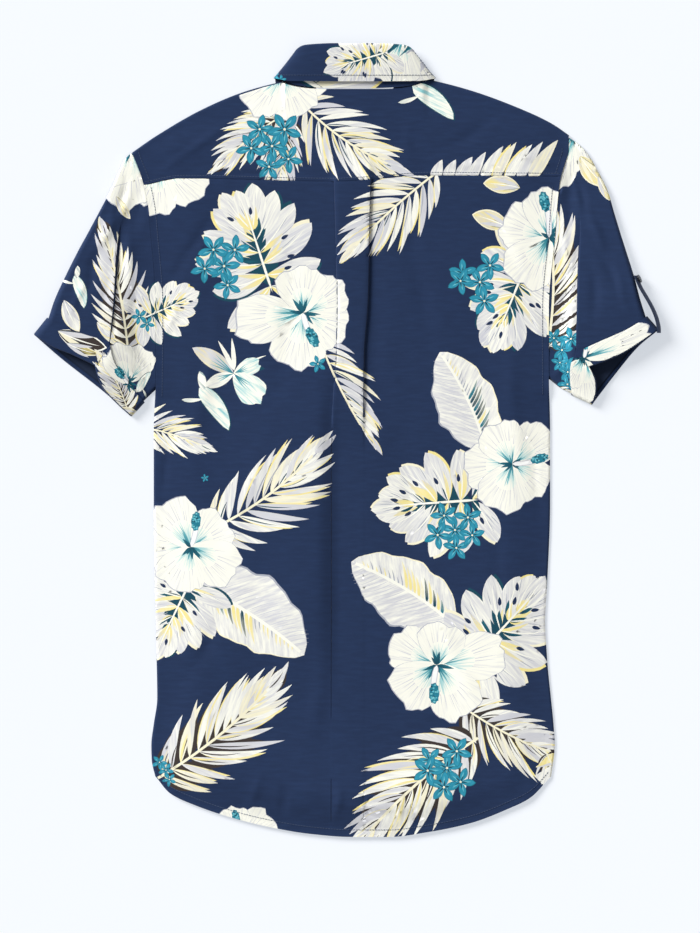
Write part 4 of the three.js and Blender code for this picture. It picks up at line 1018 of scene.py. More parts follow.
# One piece of cloth: its printed side with the motifs drawn into the mesh, its reverse and its edge.
def panel(name, net, zones=(), shapes=(), ground="navy", reverse="inside", material=None):
    verts2 = []
    edges2 = []
    owner = []
    outlines = []
    cols, rows = net.cols, net.rows
    for i in range(rows):
        for j in range(cols):
            verts2.append((net.us[j], net.vs[i]))
    for box in zones:
        j0, j1, i0, i1 = box[:4]
        for j in (j0, j1):
            edges2 += [(i * cols + j, (i + 1) * cols + j) for i in range(i0, i1)]
        labels = box[4:] or ("near",)
        here = [s for s in shapes if s["on"] in labels and overlaps(s, net.mid[i0 : i1 + 1, j0 : j1 + 1])]
        if not here:
            continue
        lengths = [len(s["points"]) for s in here]
        u, v = net.find(np.concatenate([s["points"] for s in here]), (j0, j1, i0, i1))
        start = 0
        for s, count in zip(here, lengths):
            pts = list(zip(u[start : start + count], v[start : start + count]))
            start += count
            cut = clipped(pts, net.us[j0], net.us[j1], net.vs[i0], net.vs[i1])
            if not cut:
                continue
            first = len(verts2)
            edges2 += [(first + k, first + (k + 1) % len(cut)) for k in range(len(cut))]
            verts2 += cut
            owner.append(s)
            outlines.append(np.array(cut))
    out = delaunay_2d_cdt([Vector(p) for p in verts2], edges2, [], 0, 1e-4, False)
    uv = np.array([tuple(p) for p in out[0]])
    tris = np.array(out[2], int)
    a, b, c = uv[tris[:, 0]], uv[tris[:, 1]], uv[tris[:, 2]]
    double = np.abs((b[:, 0] - a[:, 0]) * (c[:, 1] - a[:, 1]) - (c[:, 0] - a[:, 0]) * (b[:, 1] - a[:, 1]))
    longest = np.max([np.hypot(*(p - q).T) for p, q in ((a, b), (b, c), (c, a))], axis=0)
    tris = tris[double > longest * 3e-4]
    centre = uv[tris].mean(axis=1)
    top = topmost(centre, outlines)
    i, j, _, _ = net.cell(centre[:, 0], centre[:, 1])
    keep = np.array([not net.skip(a, b) for a, b in zip(i, j)])
    tris, top = tris[keep], top[keep]
    space = net.at(net.outer, uv[:, 0], uv[:, 1])
    flat = net.at(net.mid, uv[:, 0], uv[:, 1])[:, :2]
    a, b, c = space[tris[:, 0]], space[tris[:, 1]], space[tris[:, 2]]
    faceN = np.cross(b - a, c - a)
    area = np.linalg.norm(faceN, axis=1)
    good = area > 1e-7
    tris, top, faceN = tris[good], top[good], faceN[good]
    want = net.at(net.normal, uv[:, 0], uv[:, 1])[tris[:, 0]]
    flip = np.sum(faceN * want, axis=1) < 0
    if flip.mean() > 0.5:
        tris = tris[:, ::-1]

    # Reverse and edge.
    quads = []
    have = {(i, j) for i in range(rows - 1) for j in range(cols - 1) if not net.skip(i, j)}
    base = len(space)
    backOrder = net.sign > 0
    for i, j in have:
        q = [base + i * cols + j, base + i * cols + j + 1, base + (i + 1) * cols + j + 1,
            base + (i + 1) * cols + j]
        quads.append(q if not backOrder else q[::-1])
    rim = []
    rimPoints = []
    start = base + rows * cols
    for i, j in have:
        around = [((i - 1, j), (i, j), (i, j + 1)), ((i + 1, j), (i + 1, j + 1), (i + 1, j))]
        if not net.ring or j > 0:
            around.append(((i, j - 1), (i + 1, j), (i, j)))
        if not net.ring or j < cols - 2:
            around.append(((i, j + 1), (i, j + 1), (i + 1, j + 1)))
        for other, p, q in around:
            if other in have:
                continue
            k = start + len(rimPoints)
            rimPoints += [net.outer[p], net.outer[q], net.inner[q], net.inner[p]]
            rim.append([k, k + 1, k + 2, k + 3] if not backOrder else [k + 3, k + 2, k + 1, k])
    points = np.concatenate([space, net.inner.reshape(-1, 3), np.array(rimPoints).reshape(-1, 3)]) / 1000
    allFaces = [list(map(int, t)) for t in tris] + quads + rim
    mesh = bpy.data.meshes.new(name)
    mesh.from_pydata([tuple(p) for p in points], [], allFaces)
    mesh.polygons.foreach_set("use_smooth", [True] * len(allFaces))

    # Ink, second ink, place in the motif and mixing, for each corner.
    nQ = (len(quads) + len(rim)) * 4
    looks = [(linear(ground), linear("navyLight"), (0.2, 0.0, 0.5), None)]
    looks += [(linear(s["ink"]), linear(s["inkTwo"]), s["mixing"], s["frame"]) for s in owner]
    which = top + 1
    ink = np.array([k[0] for k in looks])[which].repeat(3, axis=0)
    two = np.array([k[1] for k in looks])[which].repeat(3, axis=0)
    mixing = np.array([k[2] for k in looks])[which].repeat(3, axis=0)
    frames = np.array([k[3] or (0, 0, 0, 30, 0, 1) for k in looks])[which].repeat(3, axis=0)
    xy = flat[tris.reshape(-1)] - frames[:, :2]
    cosA, sinA = np.cos(frames[:, 2]), np.sin(frames[:, 2])
    along = (xy[:, 0] * cosA + xy[:, 1] * sinA) / frames[:, 3]
    across = (xy[:, 1] * cosA - xy[:, 0] * sinA) / frames[:, 3]
    fan = frames[:, 4] > 0.5
    radius = np.hypot(along, across)
    angle = np.arctan2(across, along)
    local = np.zeros((len(xy), 3))
    local[:, 0] = np.where(fan, radius, along)
    local[:, 1] = np.where(fan, angle, across) * frames[:, 5]
    local[:, 2] = which.repeat(3) * 0.37 % 9
    plain = np.array(linear(reverse))
    me = mesh
    for attr, kind, front, rest in (
        ("ink", "FLOAT_COLOR", ink, plain),
        ("inkTwo", "FLOAT_COLOR", two, plain * 1.15),
        ("local", "FLOAT_VECTOR", local, np.zeros(3)),
        ("mixing", "FLOAT_VECTOR", mixing, np.zeros(3)),
    ):
        data = np.concatenate([front, np.tile(rest, (nQ, 1))])
        layer = me.attributes.new(attr, kind, "CORNER")
        layer.data.foreach_set("color" if kind == "FLOAT_COLOR" else "vector",
            data.astype(np.float32).ravel())
    mesh.validate()
    mesh.update()
    piece = bpy.data.objects.new(name, mesh)
    bpy.context.scene.collection.objects.link(piece)
    mesh.materials.append(material or clothMaterial)
    print(f"{name}: {len(mesh.polygons)} faces, {len(owner)} shapes, area {area.sum() / 2e6:.4f} m2")
    return piece


def overlaps(shape, points):
    low = points[..., :2].min(axis=(0, 1)) - 1
    high = points[..., :2].max(axis=(0, 1)) + 1
    p = shape["points"]
    return bool(np.all(p.max(axis=0) > low) and np.all(p.min(axis=0) < high))


def makeClothMaterial():
    m = bpy.data.materials.new("printed cotton")
    m.use_nodes = True
    tree = m.node_tree
    nodes = tree.nodes
    links = tree.links
    nodes.clear()

    def node(kind, x, y, **values):
        n = nodes.new(kind)
        n.location = (x, y)
        for key, value in values.items():
            setattr(n, key, value)
        return n

    out = node("ShaderNodeOutputMaterial", 900, 0)
    skin = node("ShaderNodeBsdfPrincipled", 600, 0)
    links.new(skin.outputs["BSDF"], out.inputs["Surface"])
    ink = node("ShaderNodeAttribute", -900, 300, attribute_name="ink")
    two = node("ShaderNodeAttribute", -900, 100, attribute_name="inkTwo")
    local = node("ShaderNodeAttribute", -1200, -100, attribute_name="local")
    mixing = node("ShaderNodeAttribute", -1200, -350, attribute_name="mixing")

    # Streaks run along the motif and change quickly across it.
    stretch = node("ShaderNodeVectorMath", -950, -100, operation="MULTIPLY")
    stretch.inputs[1].default_value = (1.6, 9.0, 1.0)
    links.new(local.outputs["Vector"], stretch.inputs[0])
    streak = node("ShaderNodeTexNoise", -750, -100, noise_dimensions="3D")
    streak.inputs["Scale"].default_value = 1.0
    streak.inputs["Detail"].default_value = 3.0
    streak.inputs["Roughness"].default_value = 0.6
    links.new(stretch.outputs[0], streak.inputs["Vector"])
    parts = node("ShaderNodeSeparateXYZ", -950, -350)
    links.new(mixing.outputs["Vector"], parts.inputs[0])
    place = node("ShaderNodeSeparateXYZ", -950, -550)
    links.new(local.outputs["Vector"], place.inputs[0])

    def maths(operation, x, y, a, b=None):
        n = node("ShaderNodeMath", x, y, operation=operation)
        for k, value in enumerate((a, b)):
            if value is None:
                continue
            if isinstance(value, (int, float)):
                n.inputs[k].default_value = value
            else:
                links.new(value, n.inputs[k])
        return n.outputs[0]

    # Share of the second ink: a start, a slope along the motif, and the streaks.
    slope = maths("MULTIPLY", -700, -400, parts.outputs["Y"], place.outputs["X"])
    share = maths("ADD", -520, -400, slope, parts.outputs["X"])
    wave = maths("SUBTRACT", -520, -150, streak.outputs["Fac"], 0.5)
    wave = maths("MULTIPLY", -360, -150, wave, parts.outputs["Z"])
    wave = maths("MULTIPLY", -200, -150, wave, 4.0)
    share = maths("ADD", -60, -250, share, wave)
    clampNode = node("ShaderNodeClamp", 80, -250)
    links.new(share, clampNode.inputs["Value"])
    mix = node("ShaderNodeMix", 240, 150, data_type="RGBA")
    links.new(clampNode.outputs[0], mix.inputs["Factor"])
    links.new(ink.outputs["Color"], mix.inputs["A"])
    links.new(two.outputs["Color"], mix.inputs["B"])
    links.new(mix.outputs["Result"], skin.inputs["Base Color"])
    skin.inputs["Roughness"].default_value = 0.82
    skin.inputs["Specular IOR Level"].default_value = 0.25
    skin.inputs["Sheen Weight"].default_value = 0.12
    skin.inputs["Sheen Roughness"].default_value = 0.5

    # Fine weave and small unevenness of the cloth.
    where = node("ShaderNodeTexCoord", -1200, -800)
    weave = node("ShaderNodeTexNoise", -700, -800)
    weave.inputs["Scale"].default_value = 900.0
    weave.inputs["Detail"].default_value = 2.0
    uneven = node("ShaderNodeTexNoise", -700, -1000)
    uneven.inputs["Scale"].default_value = 45.0
    uneven.inputs["Detail"].default_value = 3.0
    links.new(where.outputs["Object"], weave.inputs["Vector"])
    links.new(where.outputs["Object"], uneven.inputs["Vector"])
    both = maths("MULTIPLY", -450, -800, weave.outputs["Fac"], 0.12)
    both = maths("ADD", -300, -800, both, uneven.outputs["Fac"])
    bump = node("ShaderNodeBump", 100, -800)
    bump.inputs["Strength"].default_value = 0.35
    bump.inputs["Distance"].default_value = 0.0012
    links.new(both, bump.inputs["Height"])
    links.new(bump.outputs["Normal"], skin.inputs["Normal"])
    return m


def plainMaterial(name, colour, roughness, specular=0.5):
    m = bpy.data.materials.new(name)
    m.use_nodes = True
    skin = m.node_tree.nodes["Principled BSDF"]
    skin.inputs["Base Color"].default_value = colour
    skin.inputs["Roughness"].default_value = roughness
    skin.inputs["Specular IOR Level"].default_value = specular
    return m


clothMaterial = makeClothMaterial()
buttonMaterial = plainMaterial("dark resin", (0.03, 0.035, 0.045, 1), 0.3)
threadMaterial = plainMaterial("navy thread", linear("navyLight"), 0.8, 0.2)
threadDark = plainMaterial("dark thread", linear("thread"), 0.8, 0.2)


# Row of stitches: short rods along a line, set out by a Geometry Nodes group.
def makeStitchGroup():
    group = bpy.data.node_groups.new("stitch rows", "GeometryNodeTree")
    face = group.interface
    face.new_socket("Geometry", in_out="INPUT", socket_type="NodeSocketGeometry")
    ids = {}
    for label, value in (("Spacing", 0.0026), ("Long", 0.0018), ("Thick", 0.0003)):
        s = face.new_socket(label, in_out="INPUT", socket_type="NodeSocketFloat")
        s.default_value = value
        ids[label] = s.identifier
    s = face.new_socket("Thread", in_out="INPUT", socket_type="NodeSocketMaterial")
    ids["Thread"] = s.identifier
    face.new_socket("Geometry", in_out="OUTPUT", socket_type="NodeSocketGeometry")
    new = group.nodes.new
    link = group.links.new
    entry = new("NodeGroupInput")
    leave = new("NodeGroupOutput")
    curve = new("GeometryNodeMeshToCurve")
    evenly = new("GeometryNodeResampleCurve")
    keys = [item.identifier for item in evenly.bl_rna.properties["mode"].enum_items] if "mode" in evenly.bl_rna.properties else []
    if keys:
        evenly.mode = "LENGTH"
    else:
        evenly.inputs["Mode"].default_value = "Length"
    tangent = new("GeometryNodeInputTangent")
    turn = new("FunctionNodeAlignRotationToVector")
    turn.axis = "X"
    rod = new("GeometryNodeMeshCube")
    size = new("ShaderNodeCombineXYZ")
    place = new("GeometryNodeInstanceOnPoints")
    real = new("GeometryNodeRealizeInstances")
    paint = new("GeometryNodeSetMaterial")
    link(entry.outputs["Geometry"], curve.inputs[0])
    link(curve.outputs[0], evenly.inputs["Curve"])
    link(entry.outputs["Spacing"], evenly.inputs["Length"])
    link(tangent.outputs[0], turn.inputs["Vector"])
    link(entry.outputs["Long"], size.inputs["X"])
    link(entry.outputs["Thick"], size.inputs["Y"])
    link(entry.outputs["Thick"], size.inputs["Z"])
    link(size.outputs[0], rod.inputs["Size"])
    link(evenly.outputs[0], place.inputs["Points"])
    link(rod.outputs["Mesh"], place.inputs["Instance"])
    link(turn.outputs[0], place.inputs["Rotation"])
    link(place.outputs[0], real.inputs[0])
    link(real.outputs[0], paint.inputs["Geometry"])
    link(entry.outputs["Thread"], paint.inputs["Material"])
    link(paint.outputs[0], leave.inputs[0])
    return group, ids


stitchGroup, stitchIds = makeStitchGroup()


# Stitches on a net: each line is a row of points of the plan, laid on the printed side.
def stitches(name, net, lines, thread=None, lift=0.16):
    verts = []
    edges = []
    for points, box in lines:
        u, v = net.find(np.array(points, float), box)
        u = np.clip(u, net.us[box[0]], net.us[box[1]])
        v = np.clip(v, net.vs[box[2]], net.vs[box[3]])
        p = (net.at(net.outer, u, v) + net.at(net.normal, u, v) * lift) / 1000
        edges += [(len(verts) + k, len(verts) + k + 1) for k in range(len(p) - 1)]
        verts += [tuple(q) for q in p]
    return stitchMesh(name, verts, edges, thread)


def stitchMesh(name, verts, edges, thread=None):
    mesh = bpy.data.meshes.new(name + " line")
    mesh.from_pydata(verts, edges, [])
    line = bpy.data.objects.new(name + " line", mesh)
    bpy.context.scene.collection.objects.link(line)
    mod = line.modifiers.new("stitches", "NODES")
    mod.node_group = stitchGroup
    mod[stitchIds["Spacing"]] = 0.0027
    mod[stitchIds["Long"]] = 0.0019
    mod[stitchIds["Thick"]] = 0.00045
    mod[stitchIds["Thread"]] = thread or threadMaterial
    bpy.context.view_layer.update()
    shown = line.evaluated_get(bpy.context.evaluated_depsgraph_get())
    done = bpy.data.meshes.new_from_object(shown)
    line.modifiers.remove(mod)
    bpy.data.objects.remove(line)
    piece = bpy.data.objects.new(name, done)
    bpy.context.scene.collection.objects.link(piece)
    if not done.materials:
        done.materials.append(thread or threadMaterial)
    return piece


# Motifs of the print. Each is a list of shapes in its own millimetres, later ones over earlier ones.
def shape(points, ink, inkTwo=None, mixing=(0, 0, 0), frame=(0, 0, 0, 30, 0, 1)):
    return {
        "points": np.asarray(points, float), "ink": ink, "inkTwo": inkTwo or ink, "mixing": mixing,
        "frame": frame,
    }


def blade(x, y, angle, long, wide, bow=0.0, peak=0.45, blunt=0.9, n=11):
    t = np.linspace(0, 1, n)
    heading = angle + bow * t
    step = long / (n - 1)
    cx = x + np.concatenate([[0], np.cumsum(np.cos(heading[:-1]))]) * step
    cy = y + np.concatenate([[0], np.cumsum(np.sin(heading[:-1]))]) * step
    half = wide / 2 * np.sin(math.pi * t ** (math.log(0.5) / math.log(peak))) ** blunt
    nx, ny = -np.sin(heading), np.cos(heading)
    one = np.stack([cx + nx * half, cy + ny * half], axis=1)
    two = np.stack([cx - nx * half, cy - ny * half], axis=1)
    return np.concatenate([one, two[::-1][1:-1]])


def oval(x, y, long, wide, angle=0.0, n=9):
    a = np.linspace(0, 2 * math.pi, n, endpoint=False)
    px, py = np.cos(a) * long / 2, np.sin(a) * wide / 2
    return np.stack([x + px * math.cos(angle) - py * math.sin(angle),
        y + px * math.sin(angle) + py * math.cos(angle)], 1)


def petal(x, y, lean, long, wide, rnd, n=34):
    a = np.linspace(0, 2 * math.pi, n, endpoint=False)
    along = 0.5 - 0.5 * np.cos(a)
    half = np.sin(a) * (0.42 + 0.58 * along**0.9) * 0.6
    p, q = rnd.uniform(0, 6), rnd.uniform(0, 6)
    ripple = 1 + along**2 * (0.035 * np.sin(a * 6 + p) + 0.028 * np.sin(a * 11 + q) + 0.014 * np.sin(a * 19 + p))
    px, py = long * along * ripple, wide * half * ripple
    c, s = math.cos(lean), math.sin(lean)
    return np.stack([x + px * c - py * s, y + px * s + py * c], 1)


def hibiscus(size, seed, pistil=60, long=0.85, petals=None):
    rnd = random.Random(seed)
    shapes = []
    turn = rnd.uniform(0, 72)
    if not petals:
        order = (0, 2, 4, 1, 3)
        petals = [(turn + 72 * k + rnd.uniform(-8, 8), rnd.uniform(0.9, 1.08),
            rnd.uniform(1.0, 1.16)) for k in order]
    for lean, reach, wide in petals:
        a = math.radians(lean)
        r = size * reach
        w = size * wide
        fan = (0, 0, a, r, 1, 2.6)
        ruffles = rnd.random()
        shapes.append(shape(petal(-0.005 * r, 0, a, r * 1.017, w * 1.017, random.Random(ruffles)),
            "greyDark", "lilac", (0.4, 0, 0.6), fan))
        shapes.append(shape(petal(0, 0, a, r, w, random.Random(ruffles)), "ivory", "lilac",
            (-0.1, 0.2, 0.55), fan))
        for q in np.linspace(-0.62, 0.62, 7):
            vein = a + q * w / r * 0.62 + rnd.uniform(-0.05, 0.05)
            near = r * rnd.uniform(0.34, 0.5)
            reachV = r * (0.97 - 0.35 * q * q) - near - r * rnd.uniform(0.02, 0.14)
            line = blade(near * math.cos(vein), near * math.sin(vein), vein, reachV, 0.013 * size, 0.12 * q,
                0.3, 0.7, 6)
            shapes.append(shape(line, rnd.choice(["lilac", "grey", "lilac"])))
        glow = [(0.56 * r * k * math.cos(a + q * w / r * 0.5),
            0.56 * r * k * math.sin(a + q * w / r * 0.5)) for q,
            k in ((-1, 0.75), (-0.6, 0.95), (-0.2, 1), (0.2, 1), (0.6, 0.95), (1, 0.75))]
        shapes.append(shape([(0, 0), *glow], "aqua", "ivory", (-0.1, 2.3, 0.8), fan))
        for _ in range(7):
            q = rnd.uniform(-0.95, 0.95) * w / r * 0.5
            tip = r * rnd.uniform(0.2, 0.5) * (1 - 0.35 * abs(q))
            shapes.append(shape(blade(0, 0, a + q, tip, 0.03 * size, peak=0.35, n=6), "teal", "aqua",
                (-0.1, 2.5, 0.3), (0, 0, a + q, r, 0, 2)))
    for k in range(9):
        lean = rnd.uniform(0, 2 * math.pi)
        tip = size * rnd.uniform(0.16, 0.34)
        shapes.append(shape(blade(0, 0, lean, tip, rnd.uniform(0.05, 0.085) * size, peak=0.35, n=6),
            "tealDark", "teal", (0, 2.8, 0.3), (0, 0, lean, size, 0, 2)))
    lean = math.radians(pistil)
    for wide, ink in ((0.115, "lilac"), (0.085, "white")):
        shapes.append(shape(blade(0, 0, lean, size * long * 0.74, size * wide, 0.25, 0.5, 0.25, 9), ink))
    c, s = math.cos(lean + 0.25), math.sin(lean + 0.25)
    tx, ty = size * long * 0.78 * math.cos(lean + 0.16), size * long * 0.78 * math.sin(lean + 0.16)
    a = np.linspace(0, 2 * math.pi, 22, endpoint=False)
    bump = 1 + 0.09 * np.sin(a * 9)
    px, py = np.cos(a) * size * 0.2 * bump, np.sin(a) * size * 0.1 * bump
    head = np.stack([tx + px * c - py * s, ty + px * s + py * c], 1)
    shapes.append(shape(head, "teal", "blue", (0.2, 0, 0.6), (tx, ty, 0, 6, 0, 1)))
    for _ in range(24):
        q, w = rnd.uniform(-1, 1), rnd.uniform(-1, 1)
        dx = q * size * 0.17
        dy = w * size * 0.08 * math.sqrt(1 - q * q)
        dot = oval(tx + dx * c - dy * s, ty + dx * s + dy * c, size * 0.045, size * 0.035, 0, 5)
        shapes.append(shape(dot, rnd.choice(["blueLight", "tealDark", "aqua", "blueLight"])))
    return shapes


def monstera(size, seed, spread=1.0):
    rnd = random.Random(seed)
    lobes = []
    for k in range(6):
        s = k / 5
        for side in (1, -1):
            x = size * (0.02 + 0.6 * s)
            lean = side * math.radians(lerp(128, 26, s**0.85) + rnd.uniform(-4, 4))
            long = size * lerp(0.5, 0.4, s) * (1 + 0.22 * math.sin(math.pi * s)) * rnd.uniform(0.93,
                1.1) * spread
            lobes.append((x, lean, long, size * 0.225 * rnd.uniform(0.92, 1.08),
                -side * rnd.uniform(0.25, 0.55)))
    lobes.append((size * 0.6, 0.0, size * 0.46, size * 0.2, 0.15))
    shapes = [shape(blade(size * 0.02, 0, 0, size * 0.9, size * 0.44, 0, 0.5, 0.8, 14), "tealDark")]
    for x, lean, long, wide, bow in lobes:
        ink = rnd.choice(["yellow", "cream", "tealDark", "cream", "tealDark"])
        away = rnd.choice([-0.07, 0.07])
        shapes.append(shape(blade(x, 0, lean + away, long * 1.01, wide, bow, 0.56, 0.72, 13), ink))
    for x, lean, long, wide, bow in lobes:
        strip = (x, 0, lean, long, 0, 2.4)
        inks = rnd.choice([("grey", "ivory"), ("ivory", "grey"), ("lilac", "ivory"), ("grey", "ivory")])
        shapes.append(shape(blade(x, 0, lean, long, wide, bow, 0.56, 0.72, 14), *inks, (0.35, 0, 0.7),
            strip))
        for q in (-0.15, -0.07, 0.06, 0.15):
            if rnd.random() < 0.7:
                near = long * rnd.uniform(0.3, 0.5)
                line = blade(x + near * math.cos(lean + q), near * math.sin(lean + q), lean + q,
                    long * rnd.uniform(0.25, 0.4), size * 0.008, bow * 0.5, 0.4, 0.8, 6)
                shapes.append(shape(line, rnd.choice(["greyDark", "grey", "greyDark"])))
    for x, lean, long, wide, bow in lobes:
        strip = (x, 0, lean, long, 0, 2.2)
        for _ in range(3):
            off = rnd.uniform(-0.3, 0.3)
            tip = long * rnd.uniform(0.3, 0.68)
            ink, two = rnd.choice([("yellow", "grey"), ("yellow", "cream"), ("tealDark", "teal")])
            if ink == "tealDark":
                tip *= 0.72
            shapes.append(shape(blade(x, 0, lean + off, tip, wide * rnd.uniform(0.12, 0.28), bow, 0.4, 0.9,
                8), ink, two, (-0.2, 1.3, 0.5), strip))
        shapes.append(shape(blade(x, 0, lean, long * 0.84, size * 0.014, bow, 0.3, 0.6, 8), "ivory"))
        if rnd.random() < 0.6:
            away = long * rnd.uniform(0.32, 0.52)
            turn = lean + rnd.choice([-0.26, 0.26])
            hole = blade(x + away * math.cos(turn), away * math.sin(turn), turn, size * 0.085, size * 0.036,
                0, 0.4, 0.7, 7)
            shapes.append(shape(hole, "navy"))
    shapes.append(shape(blade(-size * 0.05, 0, 0, size * 0.95, size * 0.026, 0.0, 0.15, 0.5, 9), "ivory"))
    return shapes


def palm(size, seed, bow=0.35, dark=False, count=14, onlySide=0, slim=1.0, reach=1.0):
    rnd = random.Random(seed)
    t = np.linspace(0, 1, 24)
    heading = bow * (t - 0.3)
    rx = np.concatenate([[0], np.cumsum(np.cos(heading[:-1]))]) * size / 23
    ry = np.concatenate([[0], np.cumsum(np.sin(heading[:-1]))]) * size / 23
    leaves = []
    for k in range(count):
        s = 0.04 + 0.94 * k / (count - 1)
        x, y, h = (float(np.interp(s, t, q)) for q in (rx, ry, heading))
        for side in (1, -1):
            if onlySide and side != onlySide:
                continue
            lean = h + side * math.radians(lerp(64, 9, s) + rnd.uniform(-4, 4))
            long = reach * size * 0.5 * (0.62 + 0.5 * math.sin(math.pi * min(1,
                s * 1.1))) * (1 - 0.32 * s) * rnd.uniform(0.85, 1.12)
            leaves.append((x, y, lean, long, size * rnd.uniform(0.042, 0.056) * slim,
                -side * rnd.uniform(0.25, 0.6)))
    shapes = []
    if dark:
        for x, y, lean, long, wide, bend in leaves:
            shapes.append(shape(blade(x, y, lean, long * 0.78, wide * 2.3, bend, 0.4, 0.8, 9), "brown"))
    for x, y, lean, long, wide, bend in leaves:
        shade, two = rnd.choice([("grey", "ivory"), ("ivory", "lilac"), ("grey", "lilac"),
            ("ivory", "grey"), ("cream", "grey")])
        strip = (x, y, lean, long, 0, 2.0)
        if rnd.random() < 0.5:
            edge = rnd.choice([-0.045, 0.045])
            shapes.append(shape(blade(x, y, lean + edge, long * rnd.uniform(0.85, 1), wide, bend, 0.42,
                0.85, 9), "yellow", "cream", (0.2, 0, 0.8), strip))
        shapes.append(shape(blade(x, y, lean, long, wide, bend, 0.42, 0.85, 11), shade, two,
            (0.2, 0.2, 0.7), strip))
        if rnd.random() < 0.5:
            ink = "brown" if dark else rnd.choice(["greyDark", "tealDark"])
            shapes.append(shape(blade(x, y, lean - 0.05, long * rnd.uniform(0.45, 0.7), wide * 0.18, bend,
                0.4, 0.9, 7), ink))
        if rnd.random() < 0.25:
            shapes.append(shape(blade(x, y, lean + 0.03, long * 0.6, wide * 0.3, bend, 0.4, 0.9, 7),
                "yellow", shade, (-0.1, 1.2, 0.5), strip))
    half = size * 0.009
    rib = [(rx[k], ry[k] + half) for k in range(0, 24, 2)] + [(rx[k], ry[k] - half) for k in range(22, -1,
        -2)]
    shapes.append(shape(rib, "cream"))
    return shapes


def banana(size, seed, bow=0.35):
    rnd = random.Random(seed)
    n = 26
    t = np.linspace(0, 1, n)
    heading = bow * (t - 0.4)
    cx = np.concatenate([[0], np.cumsum(np.cos(heading[:-1]))]) * size / (n - 1)
    cy = np.concatenate([[0], np.cumsum(np.sin(heading[:-1]))]) * size / (n - 1)
    nx, ny = -np.sin(heading), np.cos(heading)
    shapes = []
    edges = {}
    for side, share in ((1, 0.3), (-1, 0.24)):
        wave = 1 + 0.05 * np.sin(t * 21 + rnd.uniform(0, 6)) + 0.03 * np.sin(t * 37 + rnd.uniform(0, 6))
        half = size * share * np.sin(math.pi * t**0.85) ** 0.62 * wave
        edges[side] = np.stack([cx + side * nx * half, cy + side * ny * half], 1)
        line = np.stack([cx, cy], 1)
        outer = np.stack([cx + side * nx * half * 1.05, cy + side * ny * half * 1.05], 1)
        shapes.append(shape(np.concatenate([line, outer[::-1][1:-1]]), "cream" if side < 0 else "greyDark"))
    for side in (1, -1):
        whole = np.concatenate([np.stack([cx, cy], 1), edges[side][::-1][1:-1]])
        inks = ("grey", "ivory") if side > 0 else ("ivory", "grey")
        shapes.append(shape(whole, *inks, (0.4, 0, 0.8), (0, 0, side * 0.9, size * 0.3, 0, 1.2)))
        for k in range(2, n - 3):
            reach = math.dist(edges[side][k], (cx[k], cy[k]))
            lean = heading[k] + side * math.radians(56)
            strip = (cx[k], cy[k], lean, reach, 0, 2)
            if side > 0:
                shapes.append(shape(blade(cx[k], cy[k], lean, reach * 0.92, size * 0.006, -0.3, 0.4, 0.8,
                    6), "lilac"))
            else:
                far = rnd.uniform(0.75, 1.0) if k < n * 0.5 else rnd.uniform(0.3, 0.6)
                ink = rnd.choice(["yellow", "teal", "tealDark", "yellow", "cream",
                    "tealDark"]) if k < n * 0.5 else rnd.choice(["yellow", "greyDark"])
                wide = size * (0.026 if k < n * 0.5 else 0.01)
                shapes.append(shape(blade(cx[k], cy[k], lean, reach * far, wide, 0.3, 0.3, 0.8, 7), ink,
                    "cream", (-0.1, 0.6, 0.3), strip))
    half = size * 0.012
    rib = [(cx[k], cy[k] + half) for k in range(0, n, 2)] + [(cx[k], cy[k] - half) for k in range(n - 2, -1,
        -2)]
    shapes.append(shape(rib, "ivory"))
    return shapes


def stars(size, seed, count=5):
    rnd = random.Random(seed)
    shapes = []
    for k in range(count):
        away = 0 if k == 0 else size * 0.72
        a = k * 2.4 + rnd.uniform(-0.3, 0.3)
        x, y = away * math.cos(a), away * math.sin(a)
        r = size * rnd.uniform(0.48, 0.6)
        start = rnd.uniform(0, 1.2)
        for n in range(5):
            lean = start + n * 2 * math.pi / 5
            shapes.append(shape(blade(x, y, lean, r * 1.05, r * 0.5, 0.1, 0.55, 0.75, 9), "teal"))
        for n in range(5):
            lean = start + n * 2 * math.pi / 5
            shapes.append(shape(blade(x, y, lean, r, r * 0.44, 0.1, 0.55, 0.75, 9), "blue", "teal",
                (0.1, 0, 0.8), (x, y, lean, r, 0, 1.6)))
            shapes.append(shape(blade(x, y, lean + 0.08, r * 0.72, r * 0.1, 0.1, 0.5, 0.9, 6), "blueLight"))
            shapes.append(shape(blade(x, y, lean, r * 0.5, r * 0.09, 0, 0.4, 0.9, 6), "tealDark"))
        shapes.append(shape(oval(x, y, r * 0.16, r * 0.16, 0, 7), "cream"))
    return shapes


